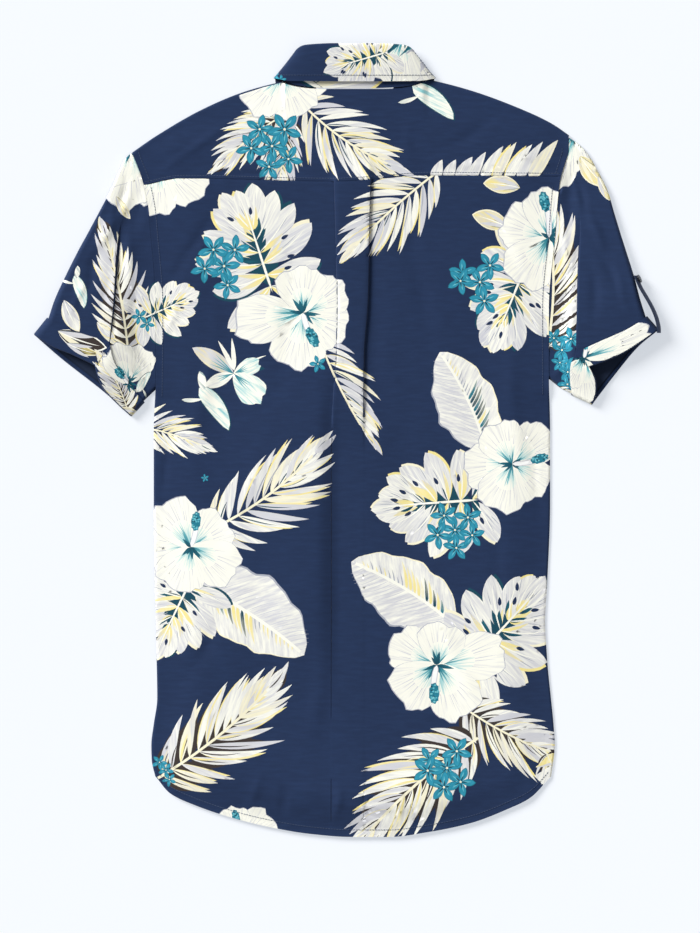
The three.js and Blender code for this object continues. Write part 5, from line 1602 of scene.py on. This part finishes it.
def bloom(size, seed):
    rnd = random.Random(seed)
    shapes = [shape(blade(0, 0, math.radians(48), size * 1.15, size * 0.07, -0.5, 0.4, 0.5, 8), "ivory")]
    shapes.append(shape(blade(0, size * 0.06, math.radians(20), size * 0.95, size * 0.24, -0.3, 0.5, 0.8,
        9), "tealDark"))
    for lean, long, wide, ink, two in (
        (150, 1.5, 0.52, "grey", "yellow"), (34, 0.85, 0.56, "ivory", "aqua"),
        (205, 1.0, 0.4, "ivory", "grey"),
        (-36, 1.15, 0.95, "ivory", "aqua"),
    ):
        a = math.radians(lean + rnd.uniform(-4, 4))
        strip = (0, 0, a, size * long, 0, 1.8)
        if wide > 0.53:
            outline = petal(0, 0, a, size * long, size * wide, rnd)
        else:
            outline = blade(0, 0, a, size * long, size * wide, 0.2, 0.5, 0.8, 14)
        shapes.append(shape(outline, ink, two, (0.0, 0.3, 0.8), strip))
        for q in (-0.2, -0.06, 0.08, 0.22):
            shapes.append(shape(blade(0, 0, a + q, size * long * 0.55, size * 0.035, 0.1, 0.4, 0.9, 6),
                "teal", "aqua", (0, 1.8, 0.3), strip))
    shapes.append(shape(blade(0, 0, math.radians(215), size * 0.6, size * 0.05, 0.3, 0.5, 0.4, 7), "ivory"))
    for lean, long in ((98, 1.0), (122, 1.05)):
        shapes.append(shape(blade(0, size * 0.1, math.radians(lean), size * long, size * 0.14, 0.1, 0.4,
            0.8, 8), "ivory", "lilac", (0, 0.3, 0.5)))
    return shapes


def bud(size, seed):
    shapes = [shape(blade(0, 0, 0, size * 1.03, size * 0.37, -0.5, 0.4, 0.6, 12), "tealDark")]
    shapes.append(shape(blade(0, 0, 0, size, size * 0.33, -0.5, 0.4, 0.6, 12), "ivory", "aqua",
        (0.15, 0, 0.9), (0, 0, 0, size, 0, 1.6)))
    shapes.append(shape(blade(size * 0.1, 0, 2.3, size * 0.4, size * 0.16, 0.4, 0.5, 0.6, 8), "ivory",
        "teal", (0.1, 0.4, 0.8), (0, 0, 0, size, 0, 2)))
    shapes.append(shape(blade(size * 0.2, -size * 0.1, -2.2, size * 0.42, size * 0.08, -0.4, 0.6, 0.6, 8),
        "ivory", "teal", (0, 1, 0.3), (0, 0, -2.2, size, 0, 2)))
    return shapes


# Upright blades side by side, like the tips of a palm leaf.
def tips(size, seed, count=8):
    rnd = random.Random(seed)
    shapes = []
    for k in range(count):
        x = size * k / (count - 1)
        lean = math.radians(lerp(72, 58, k / (count - 1)) + rnd.uniform(-4, 4))
        long = size * lerp(0.26, 0.52, smooth(0, 1, 1.2 * k / (count - 1))) * rnd.uniform(0.9, 1.05)
        strip = (x, 0, lean, long, 0, 2)
        wide = size * rnd.uniform(0.1, 0.14)
        if rnd.random() < 0.5:
            shapes.append(shape(blade(x, 0, lean + rnd.choice([-0.1, 0.1]), long * 0.9, wide, -0.25, 0.35,
                0.8), "yellow"))
        inks = rnd.choice([("grey", "ivory"), ("ivory", "lilac"), ("cream", "grey")])
        shapes.append(shape(blade(x, 0, lean, long, wide, -0.25, 0.35, 0.8), *inks, (0.2, 0.2, 0.7), strip))
    return shapes


def leaf(size, seed, ink="yellow", two="grey", edge="cream", wide=0.45):
    rnd = random.Random(seed)
    strip = (0, 0, 0, size, 0, 1.5)
    shapes = [shape(blade(0, 0, 0, size * 1.04, size * (wide + 0.06), 0.3, 0.5, 0.75, 14), edge)]
    shapes.append(shape(blade(0, 0, 0, size, size * wide, 0.3, 0.5, 0.75, 14), ink, two, (0.3, 0.2, 0.8),
        strip))
    for q in (-0.3, -0.12, 0.12, 0.3):
        shapes.append(shape(blade(0, 0, q, size * 0.5, size * 0.05, 0.3, 0.4, 0.8, 7), "tealDark", ink,
            (-0.2, 2, 0.3), strip))
    for q in (-0.22, 0.2):
        shapes.append(shape(blade(0, 0, q, size * 0.8, size * 0.1, 0.3, 0.5, 0.8, 8),
            rnd.choice(["cream", "grey"])))
    shapes.append(shape(blade(0, 0, 0, size * 0.9, size * 0.03, 0.3, 0.4, 0.8, 8), "ivory"))
    return shapes


makers = {
    "hibiscus": hibiscus, "monstera": monstera, "palm": palm, "banana": banana, "stars": stars,
    "bloom": bloom,
    "bud": bud, "leaf": leaf, "tips": tips,
}


def placed(shapes, x, y, turn, on):
    c, s = math.cos(turn), math.sin(turn)
    out = []
    for k in shapes:
        p = k["points"]
        ox, oy, angle, size, fan, stretch = k["frame"]
        moved = dict(k)
        moved["points"] = np.stack([x + p[:, 0] * c - p[:, 1] * s, y + p[:, 0] * s + p[:, 1] * c], 1)
        moved["frame"] = (x + ox * c - oy * s, y + ox * s + oy * c, angle + turn, size, fan, stretch)
        moved["on"] = on
        out.append(moved)
    return out


# Where the motifs lie on each piece, as the shirt lies.
printTable = {
    "back": table(
        "kind x y turn size seed more on",
        [
            ("monstera", -74.7, 148.4, 108, 95.6, 1, {"spread": 1.15}, "near"),
            ("stars", -120.5, 169.8, 0, 26.4, 2, {}, "near"),
            ("palm", -28.8, 101.5, -66, 109.3, 3, {"bow": 0.22, "onlySide": 1}, "near"),
            ("palm", 90.3, 263.5, -140, 115.2, 4, {"bow": 0.2}, "near"),
            ("hibiscus", -43.4, 124.0, 0, 52.7, 5,
            {"pistil": -78, "long": 0.62,
            "petals": [(330, 0.86, 1.0), (34, 0.9, 0.86), (262, 1.02, 1.1), (188, 1.26, 0.98),
            (94, 0.84, 1.0)]}, "near"),
            ("stars", -28.8, 74.2, 0, 14.6, 6, {"count": 1}, "near"),
            ("bloom", -110.8, 64.4, -6, 32.2, 7, {}, "near"),
            ("bud", -144.9, 50.8, -42, 50.8, 8, {}, "near"),
            ("monstera", -198.6, 119.1, 24, 56.6, 9, {}, "near"),
            ("monstera", 175.2, 173.7, -112, 89.8, 10, {}, "near"),
            ("leaf", 168.4, 246.0, 165, 35.1, 11, {}, "near"),
            ("leaf", 157.6, 206.9, 152, 37.1, 12, {}, "near"),
            ("hibiscus", 196.7, 197.2, 0, 50.8, 13, {"pistil": 88, "long": 0.9}, "near"),
            ("stars", 129.3, 154.2, 0, 26.4, 14, {}, "near"),
            ("banana", 135.2, -8.8, 114, 105.4, 15, {}, "near"),
            ("monstera", 123.5, -58.6, 184, 95.6, 16, {}, "near"),
            ("hibiscus", 160.6, -23.4, 0, 44.9, 17, {"pistil": 2, "long": 0.78}, "near"),
            ("stars", 104.9, -87.8, 0, 24.4, 18, {"count": 6}, "near"),
            ("banana", 103.0, -179.6, 147, 117.1, 19, {}, "near"),
            ("monstera", 123.5, -214.7, 48, 101.5, 20, {}, "near"),
            ("palm", 111.8, -259.6, -30, 109.3, 21, {"dark": True}, "near"),
            ("palm", 127.4, -290.8, -142, 146.4, 22, {"dark": True, "bow": 0.3}, "near"),
            ("hibiscus", 87.4, -219.6, 0, 50.8, 23,
            {"pistil": -105, "long": 0.7,
            "petals": [(12, 1.32, 1.0), (150, 0.98, 0.96), (300, 1.12, 1.08), (80, 0.8, 1.0),
            (222, 0.98, 1.06)]}, "near"),
            ("stars", 97.1, -320.1, 0, 26.4, 24, {"count": 6}, "near"),
            ("palm", -220.1, 15.6, -12, 82.0, 25, {"bow": -0.3}, "near"),
            ("palm", -138.1, -89.8, 32, 134.7, 26, {"bow": 0.4}, "near"),
            ("banana", -147.9, -140.5, -32, 126.9, 27, {"bow": -0.3}, "near"),
            ("monstera", -151.8, -134.7, -116, 82.0, 28, {}, "near"),
            ("hibiscus", -152.7, -104.4, 0, 46.8, 30, {"pistil": 70, "long": 0.7}, "near"),
            ("stars", -139.1, -37.1, 0, 7.8, 31, {"count": 1}, "near"),
            ("palm", -185.0, -329.9, 36, 142.5, 32, {"bow": 0.3, "dark": True}, "near"),
            ("stars", -177.1, -322.1, 0, 13.7, 33, {"count": 3}, "near"),
            ("hibiscus", -104.9, -392.4, 0, 37.1, 34, {"pistil": 90}, "near"),
            ("hibiscus", -183.0, 269.4, 0, 48.8, 35, {"pistil": 120}, "near"),
            ("palm", 193.7, -304.5, -60, 68.3, 36, {"dark": True}, "near"),
        ],
    ),
    "yoke": table(
        "kind x y turn size seed more on",
        [
            ("palm", -48.3, 326.0, -146, 91.7, 41, {"bow": 0.25, "dark": True}, "near"),
            ("palm", -53.2, 312.3, -104, 70.3, 47, {"dark": True}, "near"),
            ("palm", -49.3, 333.8, -40, 115.2, 42, {"bow": 0.45}, "near"),
            ("hibiscus", -63.0, 357.2, 0, 48.8, 43, {"pistil": 100}, "near"),
            ("stars", -73.7, 286.9, 0, 28.3, 44, {"count": 6}, "near"),
            ("bud", 63.0, 345.5, -26, 52.7, 45, {}, "near"),
            ("tips", 84.4, 251.8, 1, 93.7, 46, {"count": 9}, "near"),
            ("palm", -144.0, 312.3, -20, 107.4, 141, {}, "wrap"),
            ("hibiscus", 148.8, 292.8, 0, 42.9, 142, {"pistil": 100}, "wrap"),
        ],
    ),
    "collar_leaf": table(
        "kind x y turn size seed more on",
        [
            ("leaf", 62.0, 378.7, -54, 35.1, 58,
            {"ink": "ivory", "two": "lilac", "edge": "ivory", "wide": 0.62}, "near"),
            ("hibiscus", 55.1, 394.3, 0, 46.8, 54,
            {"pistil": 90, "petals": [(-32, 1.2, 1.3), (-66, 1.3, 1.1), (-104, 1.05, 1.1)]}, "near"),
            ("monstera", 35.6, 377.7, 196, 58.6, 52, {}, "near"),
            ("stars", -64.9, 351.4, 0, 9.8, 51, {"count": 2}, "near"),
        ],
    ),
    "collar_stand": table(
        "kind x y turn size seed more on",
        [
            ("leaf", -42.5, 343.6, 0, 78.1, 55,
            {"ink": "grey", "two": "ivory", "edge": "yellow", "wide": 0.3}, "near"),
        ],
    ),
    "left_sleeve": table(
        "kind x y turn size seed more on",
        [
            ("hibiscus", -211.3, 283.0, 0, 42.9, 61,
            {"pistil": 100, "petals": [(300, 1.3, 1.2), (262, 1.3, 1.3), (228, 0.9, 0.9)]}, "near"),
            ("leaf", -225.9, 238.1, -66, 25.4, 64, {"wide": 0.3}, "near"),
            ("palm", -214.2, 85.9, 99, 119.1, 62, {"bow": 0.2, "dark": True, "reach": 0.82, "slim": 0.9},
            "near"),
            ("bud", -266.9, 160.1, -60, 33.2, 60, {}, "near"),
            ("leaf", -276.7, 136.6, -72, 33.2, 63,
            {"ink": "grey", "two": "ivory", "edge": "cream", "wide": 0.4}, "near"),
            ("monstera", -198.6, 119.1, 24, 56.6, 9, {}, "near"),
            ("stars", -195.7, 113.2, 0, 14.6, 65, {"count": 2}, "near"),
            ("hibiscus", -214.2, 56.6, 0, 35.1, 66,
            {"pistil": 120, "long": 0.5, "petals": [(62, 1.05, 0.95), (112, 1.1, 1.0), (160, 0.7, 0.7)]},
            "near"),
            ("bud", -204.5, 46.8, 70, 23.4, 67, {}, "near"),
            ("leaf", -244.5, 115.2, -50, 23.4, 68,
            {"ink": "grey", "two": "ivory", "edge": "yellow", "wide": 0.35}, "near"),
            ("hibiscus", -192.8, 185.4, 0, 42.9, 131, {"pistil": 30}, "far"),
            ("palm", -231.8, 107.4, 60, 107.4, 132, {}, "far"),
        ],
    ),
    "right_sleeve": table(
        "kind x y turn size seed more on",
        [
            ("hibiscus", 221.1, 302.6, 0, 44.9, 71,
            {"pistil": 90, "petals": [(-72, 0.9, 0.95), (256, 1.3, 0.6)]}, "near"),
            ("leaf", 226.9, 277.2, -58, 37.1, 72, {}, "near"),
            ("leaf", 244.5, 257.7, -66, 29.3, 73, {"wide": 0.3}, "near"),
            ("palm", 194.7, 85.9, 86, 134.7, 29, {"onlySide": -1, "dark": True, "slim": 1.1}, "inner"),
            ("stars", 209.4, 87.8, 0, 19.5, 74, {"count": 4}, "inner"),
            ("stars", 215.2, 66.4, 0, 16.6, 76, {"count": 4}, "inner"),
            ("palm", 203.5, 50.8, -40, 39.0, 77, {"dark": True}, "inner"),
            ("monstera", 246.4, 175.7, -80, 87.8, 133, {}, "far"),
            ("stars", 217.2, 107.4, 0, 23.4, 134, {}, "far"),
        ],
    ),
    "left_cuff": table(
        "kind x y turn size seed more on",
        [
            ("leaf", -282.6, 106.4, -27, 48.8, 82,
            {"ink": "brown", "two": "brown", "edge": "ivory", "wide": 0.34}, "near"),
            ("leaf", -274.7, 94.7, -27, 33.2, 83,
            {"ink": "brown", "two": "yellow", "edge": "cream", "wide": 0.2}, "near"),
            ("palm", -214.2, 27.3, 112, 58.6, 81, {"dark": True, "slim": 1.3}, "near"),
            ("hibiscus", -214.2, 54.7, 0, 33.2, 85,
            {"pistil": 120, "long": 0.5, "petals": [(62, 1.05, 0.95), (112, 1.1, 1.0), (20, 0.6, 0.6)]},
            "near"),
            ("palm", -238.6, 41.0, -50, 41.0, 84, {"dark": True}, "near"),
            ("leaf", -224.0, 31.2, -30, 23.4, 86, {}, "near"),
        ],
    ),
    "right_cuff": table(
        "kind x y turn size seed more on",
        [
            ("monstera", 236.7, 35.1, 100, 35.1, 92, {}, "near"),
            ("hibiscus", 230.8, 80.0, 0, 35.1, 91,
            {"pistil": 74, "long": 0.55,
            "petals": [(-84, 1.25, 0.95), (-120, 0.9, 0.7), (30, 1.05, 0.8), (24, 2.0, 0.72)]}, "near"),
            ("stars", 210.3, 52.7, 0, 15.6, 93, {"count": 3}, "near"),
        ],
    ),
    "left_front": table(
        "kind x y turn size seed more on",
        [
            ("monstera", -95.2, -195.2, 70, 107.4, 101, {}, "near"),
            ("hibiscus", -114.7, -117.1, 0, 50.8, 102, {"pistil": 40}, "near"),
            ("palm", -153.7, 19.5, 40, 126.9, 103, {}, "near"),
            ("stars", -46.4, -29.3, 0, 25.4, 104, {}, "near"),
            ("hibiscus", -46.4, 136.6, 0, 48.8, 105, {"pistil": -60}, "near"),
            ("palm", -144.0, 195.2, -30, 117.1, 106, {"dark": True}, "near"),
            ("banana", -17.1, -312.3, 150, 117.1, 107, {}, "near"),
            ("bloom", -144.0, 97.6, 0, 33.2, 108, {}, "near"),
            ("monstera", -163.5, -292.8, 20, 97.6, 109, {}, "near"),
        ],
    ),
    "right_front": table(
        "kind x y turn size seed more on",
        [
            ("monstera", 80.5, 136.6, -60, 107.4, 111, {}, "near"),
            ("hibiscus", 119.6, 78.1, 0, 52.7, 112, {"pistil": -20}, "near"),
            ("palm", 168.4, -78.1, 150, 136.6, 113, {}, "near"),
            ("stars", 70.8, -29.3, 0, 25.4, 114, {}, "near"),
            ("hibiscus", 90.3, -244.0, 0, 50.8, 115, {"pistil": 100}, "near"),
            ("palm", 148.8, -253.8, -50, 117.1, 116, {"dark": True}, "near"),
            ("banana", 41.5, -156.2, 30, 117.1, 117, {}, "near"),
            ("bloom", 158.6, 185.4, 0, 33.2, 118, {}, "near"),
            ("stars", 148.8, -322.1, 0, 25.4, 119, {}, "near"),
        ],
    ),
}


def printOn(piece):
    shapes = []
    for r in printTable.get(piece, []):
        made = makers[r["kind"]](r["size"], r["seed"], **r["more"])
        shapes += placed(made, r["x"], r["y"], math.radians(r["turn"]), r["on"])
    return shapes


def full(net):
    return (0, net.cols - 1, 0, net.rows - 1)


def own(piece, node, slot="cloth"):
    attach(piece, "root")
    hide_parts(node)
    return piece


def ownStitches(piece):
    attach(piece, "root")
    return piece


print("nets")
back = {}
points, back["zones"] = backNet()
back["net"] = Net(points, facing=(0, 0, 1))
back["piece"] = own(panel("shirt_back", back["net"], back["zones"], printOn("back")), "back")
hemLine = [(x, hemY(x) + 7) for x in np.linspace(-184, 195, 90)]
armhole = [[(leftEdge(y) + 6.5, y), (rightEdge(y) - 6.5, y)] for y in np.linspace(246, 44, 60)]
backLines = [(hemLine, back["zones"][3])]
backLines += [([p[0] for p in armhole], back["zones"][0]), ([p[1] for p in armhole], back["zones"][2])]
back["stitches"] = ownStitches(stitches("back_stitches", back["net"], backLines, threadDark))

yoke = {}
points, flatRows, skip = yokeNet()
yoke["net"] = Net(points, skip=skip, facing=(1, 30, (0, 0, 1)))
yoke["zones"] = [
    (0, yoke["net"].cols - 1, 0, flatRows - 1),
    (0, yoke["net"].cols - 1, flatRows + 6, yoke["net"].rows - 1, "wrap"),
]
yoke["piece"] = own(panel("shirt_yoke", yoke["net"], yoke["zones"], printOn("yoke")), "yoke")
seamLine = [(x, seamY(x) + 2.6) for x in np.linspace(-197, 205, 90)]
armLines = []
for edge, side in ((leftEdge, 1), (rightEdge, -1)):
    armLines.append([(edge(y) + side * 6.5, y) for y in np.linspace(256 if side > 0 else 262, 284, 8)])
yoke["stitches"] = ownStitches(
    stitches("yoke_stitches", yoke["net"], [(line, yoke["zones"][0]) for line in [seamLine, *armLines]],
    threadDark)
)

fronts = {}
for side, node in ((-1, "left_front"), (1, "right_front")):
    f = {"net": Net(frontNet(side), facing=(0, 0, -1))}
    f["zones"] = [full(f["net"])]
    f["piece"] = own(panel(f"shirt_{node}", f["net"], f["zones"], printOn(node)), node)
    free = centreX - side * lapHalf
    edgeLine = [(free + side * 2.5, y) for y in np.linspace(262, -350, 60)]
    low = [(x, hemY(x) + frontTail * smooth(0, 60,
        min(x + 187, 198 - x)) + 7) for x in np.linspace(free + side * 3, side * 186, 60)]
    lines = [(edgeLine, f["zones"][0]), (low, f["zones"][0])]
    if side > 0:
        lines.append(([(free + side * 29, y) for y in np.linspace(255, -350, 60)], f["zones"][0]))
    f["stitches"] = ownStitches(stitches(f"{node}_stitches", f["net"], lines, lift=-0.1))
    fronts[node] = f

print("sleeves")
for key, s, creases in (("left", leftSleeve, leftSleeveCreases),
    ("right", rightSleeve, rightSleeveCreases)):
    net = Net(sleevePanel(s, creases), ring=True, facing="out")
    # Above the fold's start the near side is one zone, below it the fold parts the outer from the inner side.
    inner = sleeveZones["inner"]
    start = 1 + sum(1 for v in sleeveHeights if v < s["foldFrom"] + 0.04)
    zones = [(0, inner[1], 0, start, "near", "inner"), (*sleeveZones["outer"], start, net.rows - 1, "near")]
    zones += [(*inner, start, net.rows - 1, "near", "inner"), (*sleeveZones["far"], 0, net.rows - 1, "far")]
    piece = own(panel(f"{key}_sleeve_cloth", net, zones, printOn(f"{key}_sleeve")), f"{key}_sleeve")
    points, bandRows = cuffNet(s)
    cuff = Net(points, ring=True, facing="out")
    bandZones = [(0, inner[1], 0, bandRows - 1, "near"), (*sleeveZones["far"], 0, bandRows - 1, "far")]
    band = own(panel(f"{key}_cuff_band", cuff, bandZones, printOn(f"{key}_cuff")), f"{key}_cuff")

print("collar")
stand = Net(standNet(), facing=(2, 67, (0, 0, 1)))
standPiece = own(panel("neck_stand", stand, [full(stand)], printOn("collar_stand")), "collar_stand")
leaf = Net(leafNet(), facing=(20, 66, (0, 0, 1)))
leafZone = (6 * 6, 16 * 6, 6, leaf.rows - 1)
leafPiece = own(panel("neck_leaf", leaf, [leafZone], printOn("collar_leaf")), "collar_leaf")
leafLines = [([(x, 356.3) for x in np.linspace(-67, 82, 50)], leafZone)]
leafLines.append(([(-67, 356.3), (-60, 366), (-52, 377)], leafZone))
leafLines.append(([(82, 356.3), (75, 366), (66, 377)], leafZone))
leafStitches = ownStitches(stitches("neck_leaf_stitches", leaf, leafLines, threadDark))

tab = Net(tabNet(), facing=(1, 0, 0))
tabPiece = own(panel("sleeve_strap", tab, [full(tab)], printOn("roll_tab")), "roll_tab")


# Four-hole button about its own middle, with a rim and thread.
def makeButton(name, radius, high, node, place):
    profile = [(4.6, 0), (5.2, 0.15), (5.5, 0.7), (5.45, 1.4), (5.1, 1.9), (4.7, 2.0), (4.2, 1.85),
        (3.8, 1.6), (0, 1.5)]
    k = 40
    scale = radius / 5.5
    verts = [(0, 0, 0)]
    for r, z in profile[:-1]:
        for n in range(k):
            a = 2 * math.pi * n / k
            verts.append((r * scale * math.cos(a), r * scale * math.sin(a), z * high / 2))
    verts.append((0, 0, profile[-1][1] * high / 2))
    faces = [(0, 1 + (n + 1) % k, 1 + n) for n in range(k)]
    for ring in range(len(profile) - 2):
        for n in range(k):
            a, b = 1 + ring * k + n, 1 + ring * k + (n + 1) % k
            faces.append((a, b, b + k, a + k))
    lastRing = 1 + (len(profile) - 2) * k
    faces += [(lastRing + n, lastRing + (n + 1) % k, len(verts) - 1) for n in range(k)]
    holes = []
    top = 1.56 * high / 2
    for sx in (-1, 1):
        for sy in (-1, 1):
            first = len(verts)
            for n in range(10):
                a = 2 * math.pi * n / 10
                verts.append((sx * 1.3 * scale + 0.62 * scale * math.cos(a),
                    sy * 1.3 * scale + 0.62 * scale * math.sin(a), top + 0.02))
            holes.append(tuple(range(first, first + 10)))
    count = len(faces)
    faces += holes
    bars = []
    for sx in (-1, 1):
        first = len(verts)
        for x, y, z in ((-0.3, -1.5, 0), (0.3, -1.5, 0), (0.3, 1.5, 0), (-0.3, 1.5, 0), (-0.2, -1.0, 0.35),
            (0.2, -1.0, 0.35), (0.2, 1.0, 0.35), (-0.2, 1.0, 0.35)):
            verts.append(((sx * 1.3 + x) * scale, y * scale, top + 0.03 + z * scale))
        bars += [tuple(first + q for q in f) for f in ((4, 5, 6, 7), (0, 1, 5, 4), (1, 2, 6, 5),
            (2, 3, 7, 6), (3, 0, 4, 7))]
    faces += bars
    placed = [tuple(c / 1000 for c in place(*v)) for v in verts]
    mesh = bpy.data.meshes.new(name)
    mesh.from_pydata(placed, [], faces)
    for m in (buttonMaterial, threadDark, threadMaterial):
        mesh.materials.append(m)
    for index, polygon in enumerate(mesh.polygons):
        polygon.use_smooth = index < count and len(polygon.vertices) > 3
        polygon.material_index = 0 if index < count else (1 if index < count + 4 else 2)
    mesh.update()
    piece = bpy.data.objects.new(name, mesh)
    bpy.context.scene.collection.objects.link(piece)
    return own(piece, node, "button")


def faceDown(y):
    return lambda a, b, c: (centreX + a, y - b, buttonHigh - c)


for k, y in enumerate((284, 240, 152, 64, -24, -112, -200, -288)):
    node = "collar_button" if k == 0 else f"front_button_{k}"
    makeButton(f"{node}_resin", buttonRadius, buttonHigh, node, faceDown(y))
out = np.array([0.9, 0.42, 0.22]) / np.linalg.norm([0.9, 0.42, 0.22])
side = np.array([-0.42, 0.9, 0]) / np.linalg.norm([-0.42, 0.9, 0])
up = np.cross(out, side)
middle = np.array([284.5, 157.25, 7.0])
makeButton("tab_button_resin", 4.2, 1.4, "tab_button", lambda a, b, c: middle + side * a + up * b + out * c)

print("stage")
floorMesh = bpy.data.meshes.new("floor")
floorMesh.from_pydata([(-3, -3, -0.0002), (3, -3, -0.0002), (3, 3, -0.0002), (-3, 3, -0.0002)], [],
    [(0, 1, 2, 3)])
floor = bpy.data.objects.new("floor", floorMesh)
bpy.context.scene.collection.objects.link(floor)
# The floor is a light table: it glows a little, so the shadows on it stay pale.
floorMaterial = plainMaterial("pale floor", (0.4, 0.4, 0.4, 1), 0.9, 0.1)
glow = floorMaterial.node_tree.nodes["Principled BSDF"]
glow.inputs["Emission Color"].default_value = (0.525, 0.56, 0.61, 1)
glow.inputs["Emission Strength"].default_value = 1.0
floorMesh.materials.append(floorMaterial)

scene = bpy.context.scene
scene.view_settings.view_transform = "Standard"
world = bpy.data.worlds.new("studio")
scene.world = world
world.use_nodes = True
world.node_tree.nodes["Background"].inputs["Color"].default_value = (0.96, 0.98, 1, 1)
world.node_tree.nodes["Background"].inputs["Strength"].default_value = 0.2


def sun(name, x, y, z, soft, strength):
    light = bpy.data.lights.new(name, "SUN")
    light.energy = strength
    light.angle = math.radians(soft)
    o = bpy.data.objects.new(name, light)
    o.location = (x, y, z)
    o.rotation_euler = (Vector((0, 0, 0)) - Vector((x, y, z))).to_track_quat("-Z", "Y").to_euler()
    scene.collection.objects.link(o)
    return o


sun("key light", -1.2, 0.9, 0.85, 26, 4.62)
sun("fill light", 0.7, -0.5, 1.6, 50, 0.36)

lens = bpy.data.cameras.new("camera")
lens.type = "ORTHO"
lens.ortho_scale = 0.976 * 933 / 1000
lens.clip_end = 20
camera = bpy.data.objects.new("camera", lens)
camera.location = ((350 - 347.5) * 0.976e-3, (440 - 466.5) * 0.976e-3, 3)
scene.collection.objects.link(camera)
scene.camera = camera
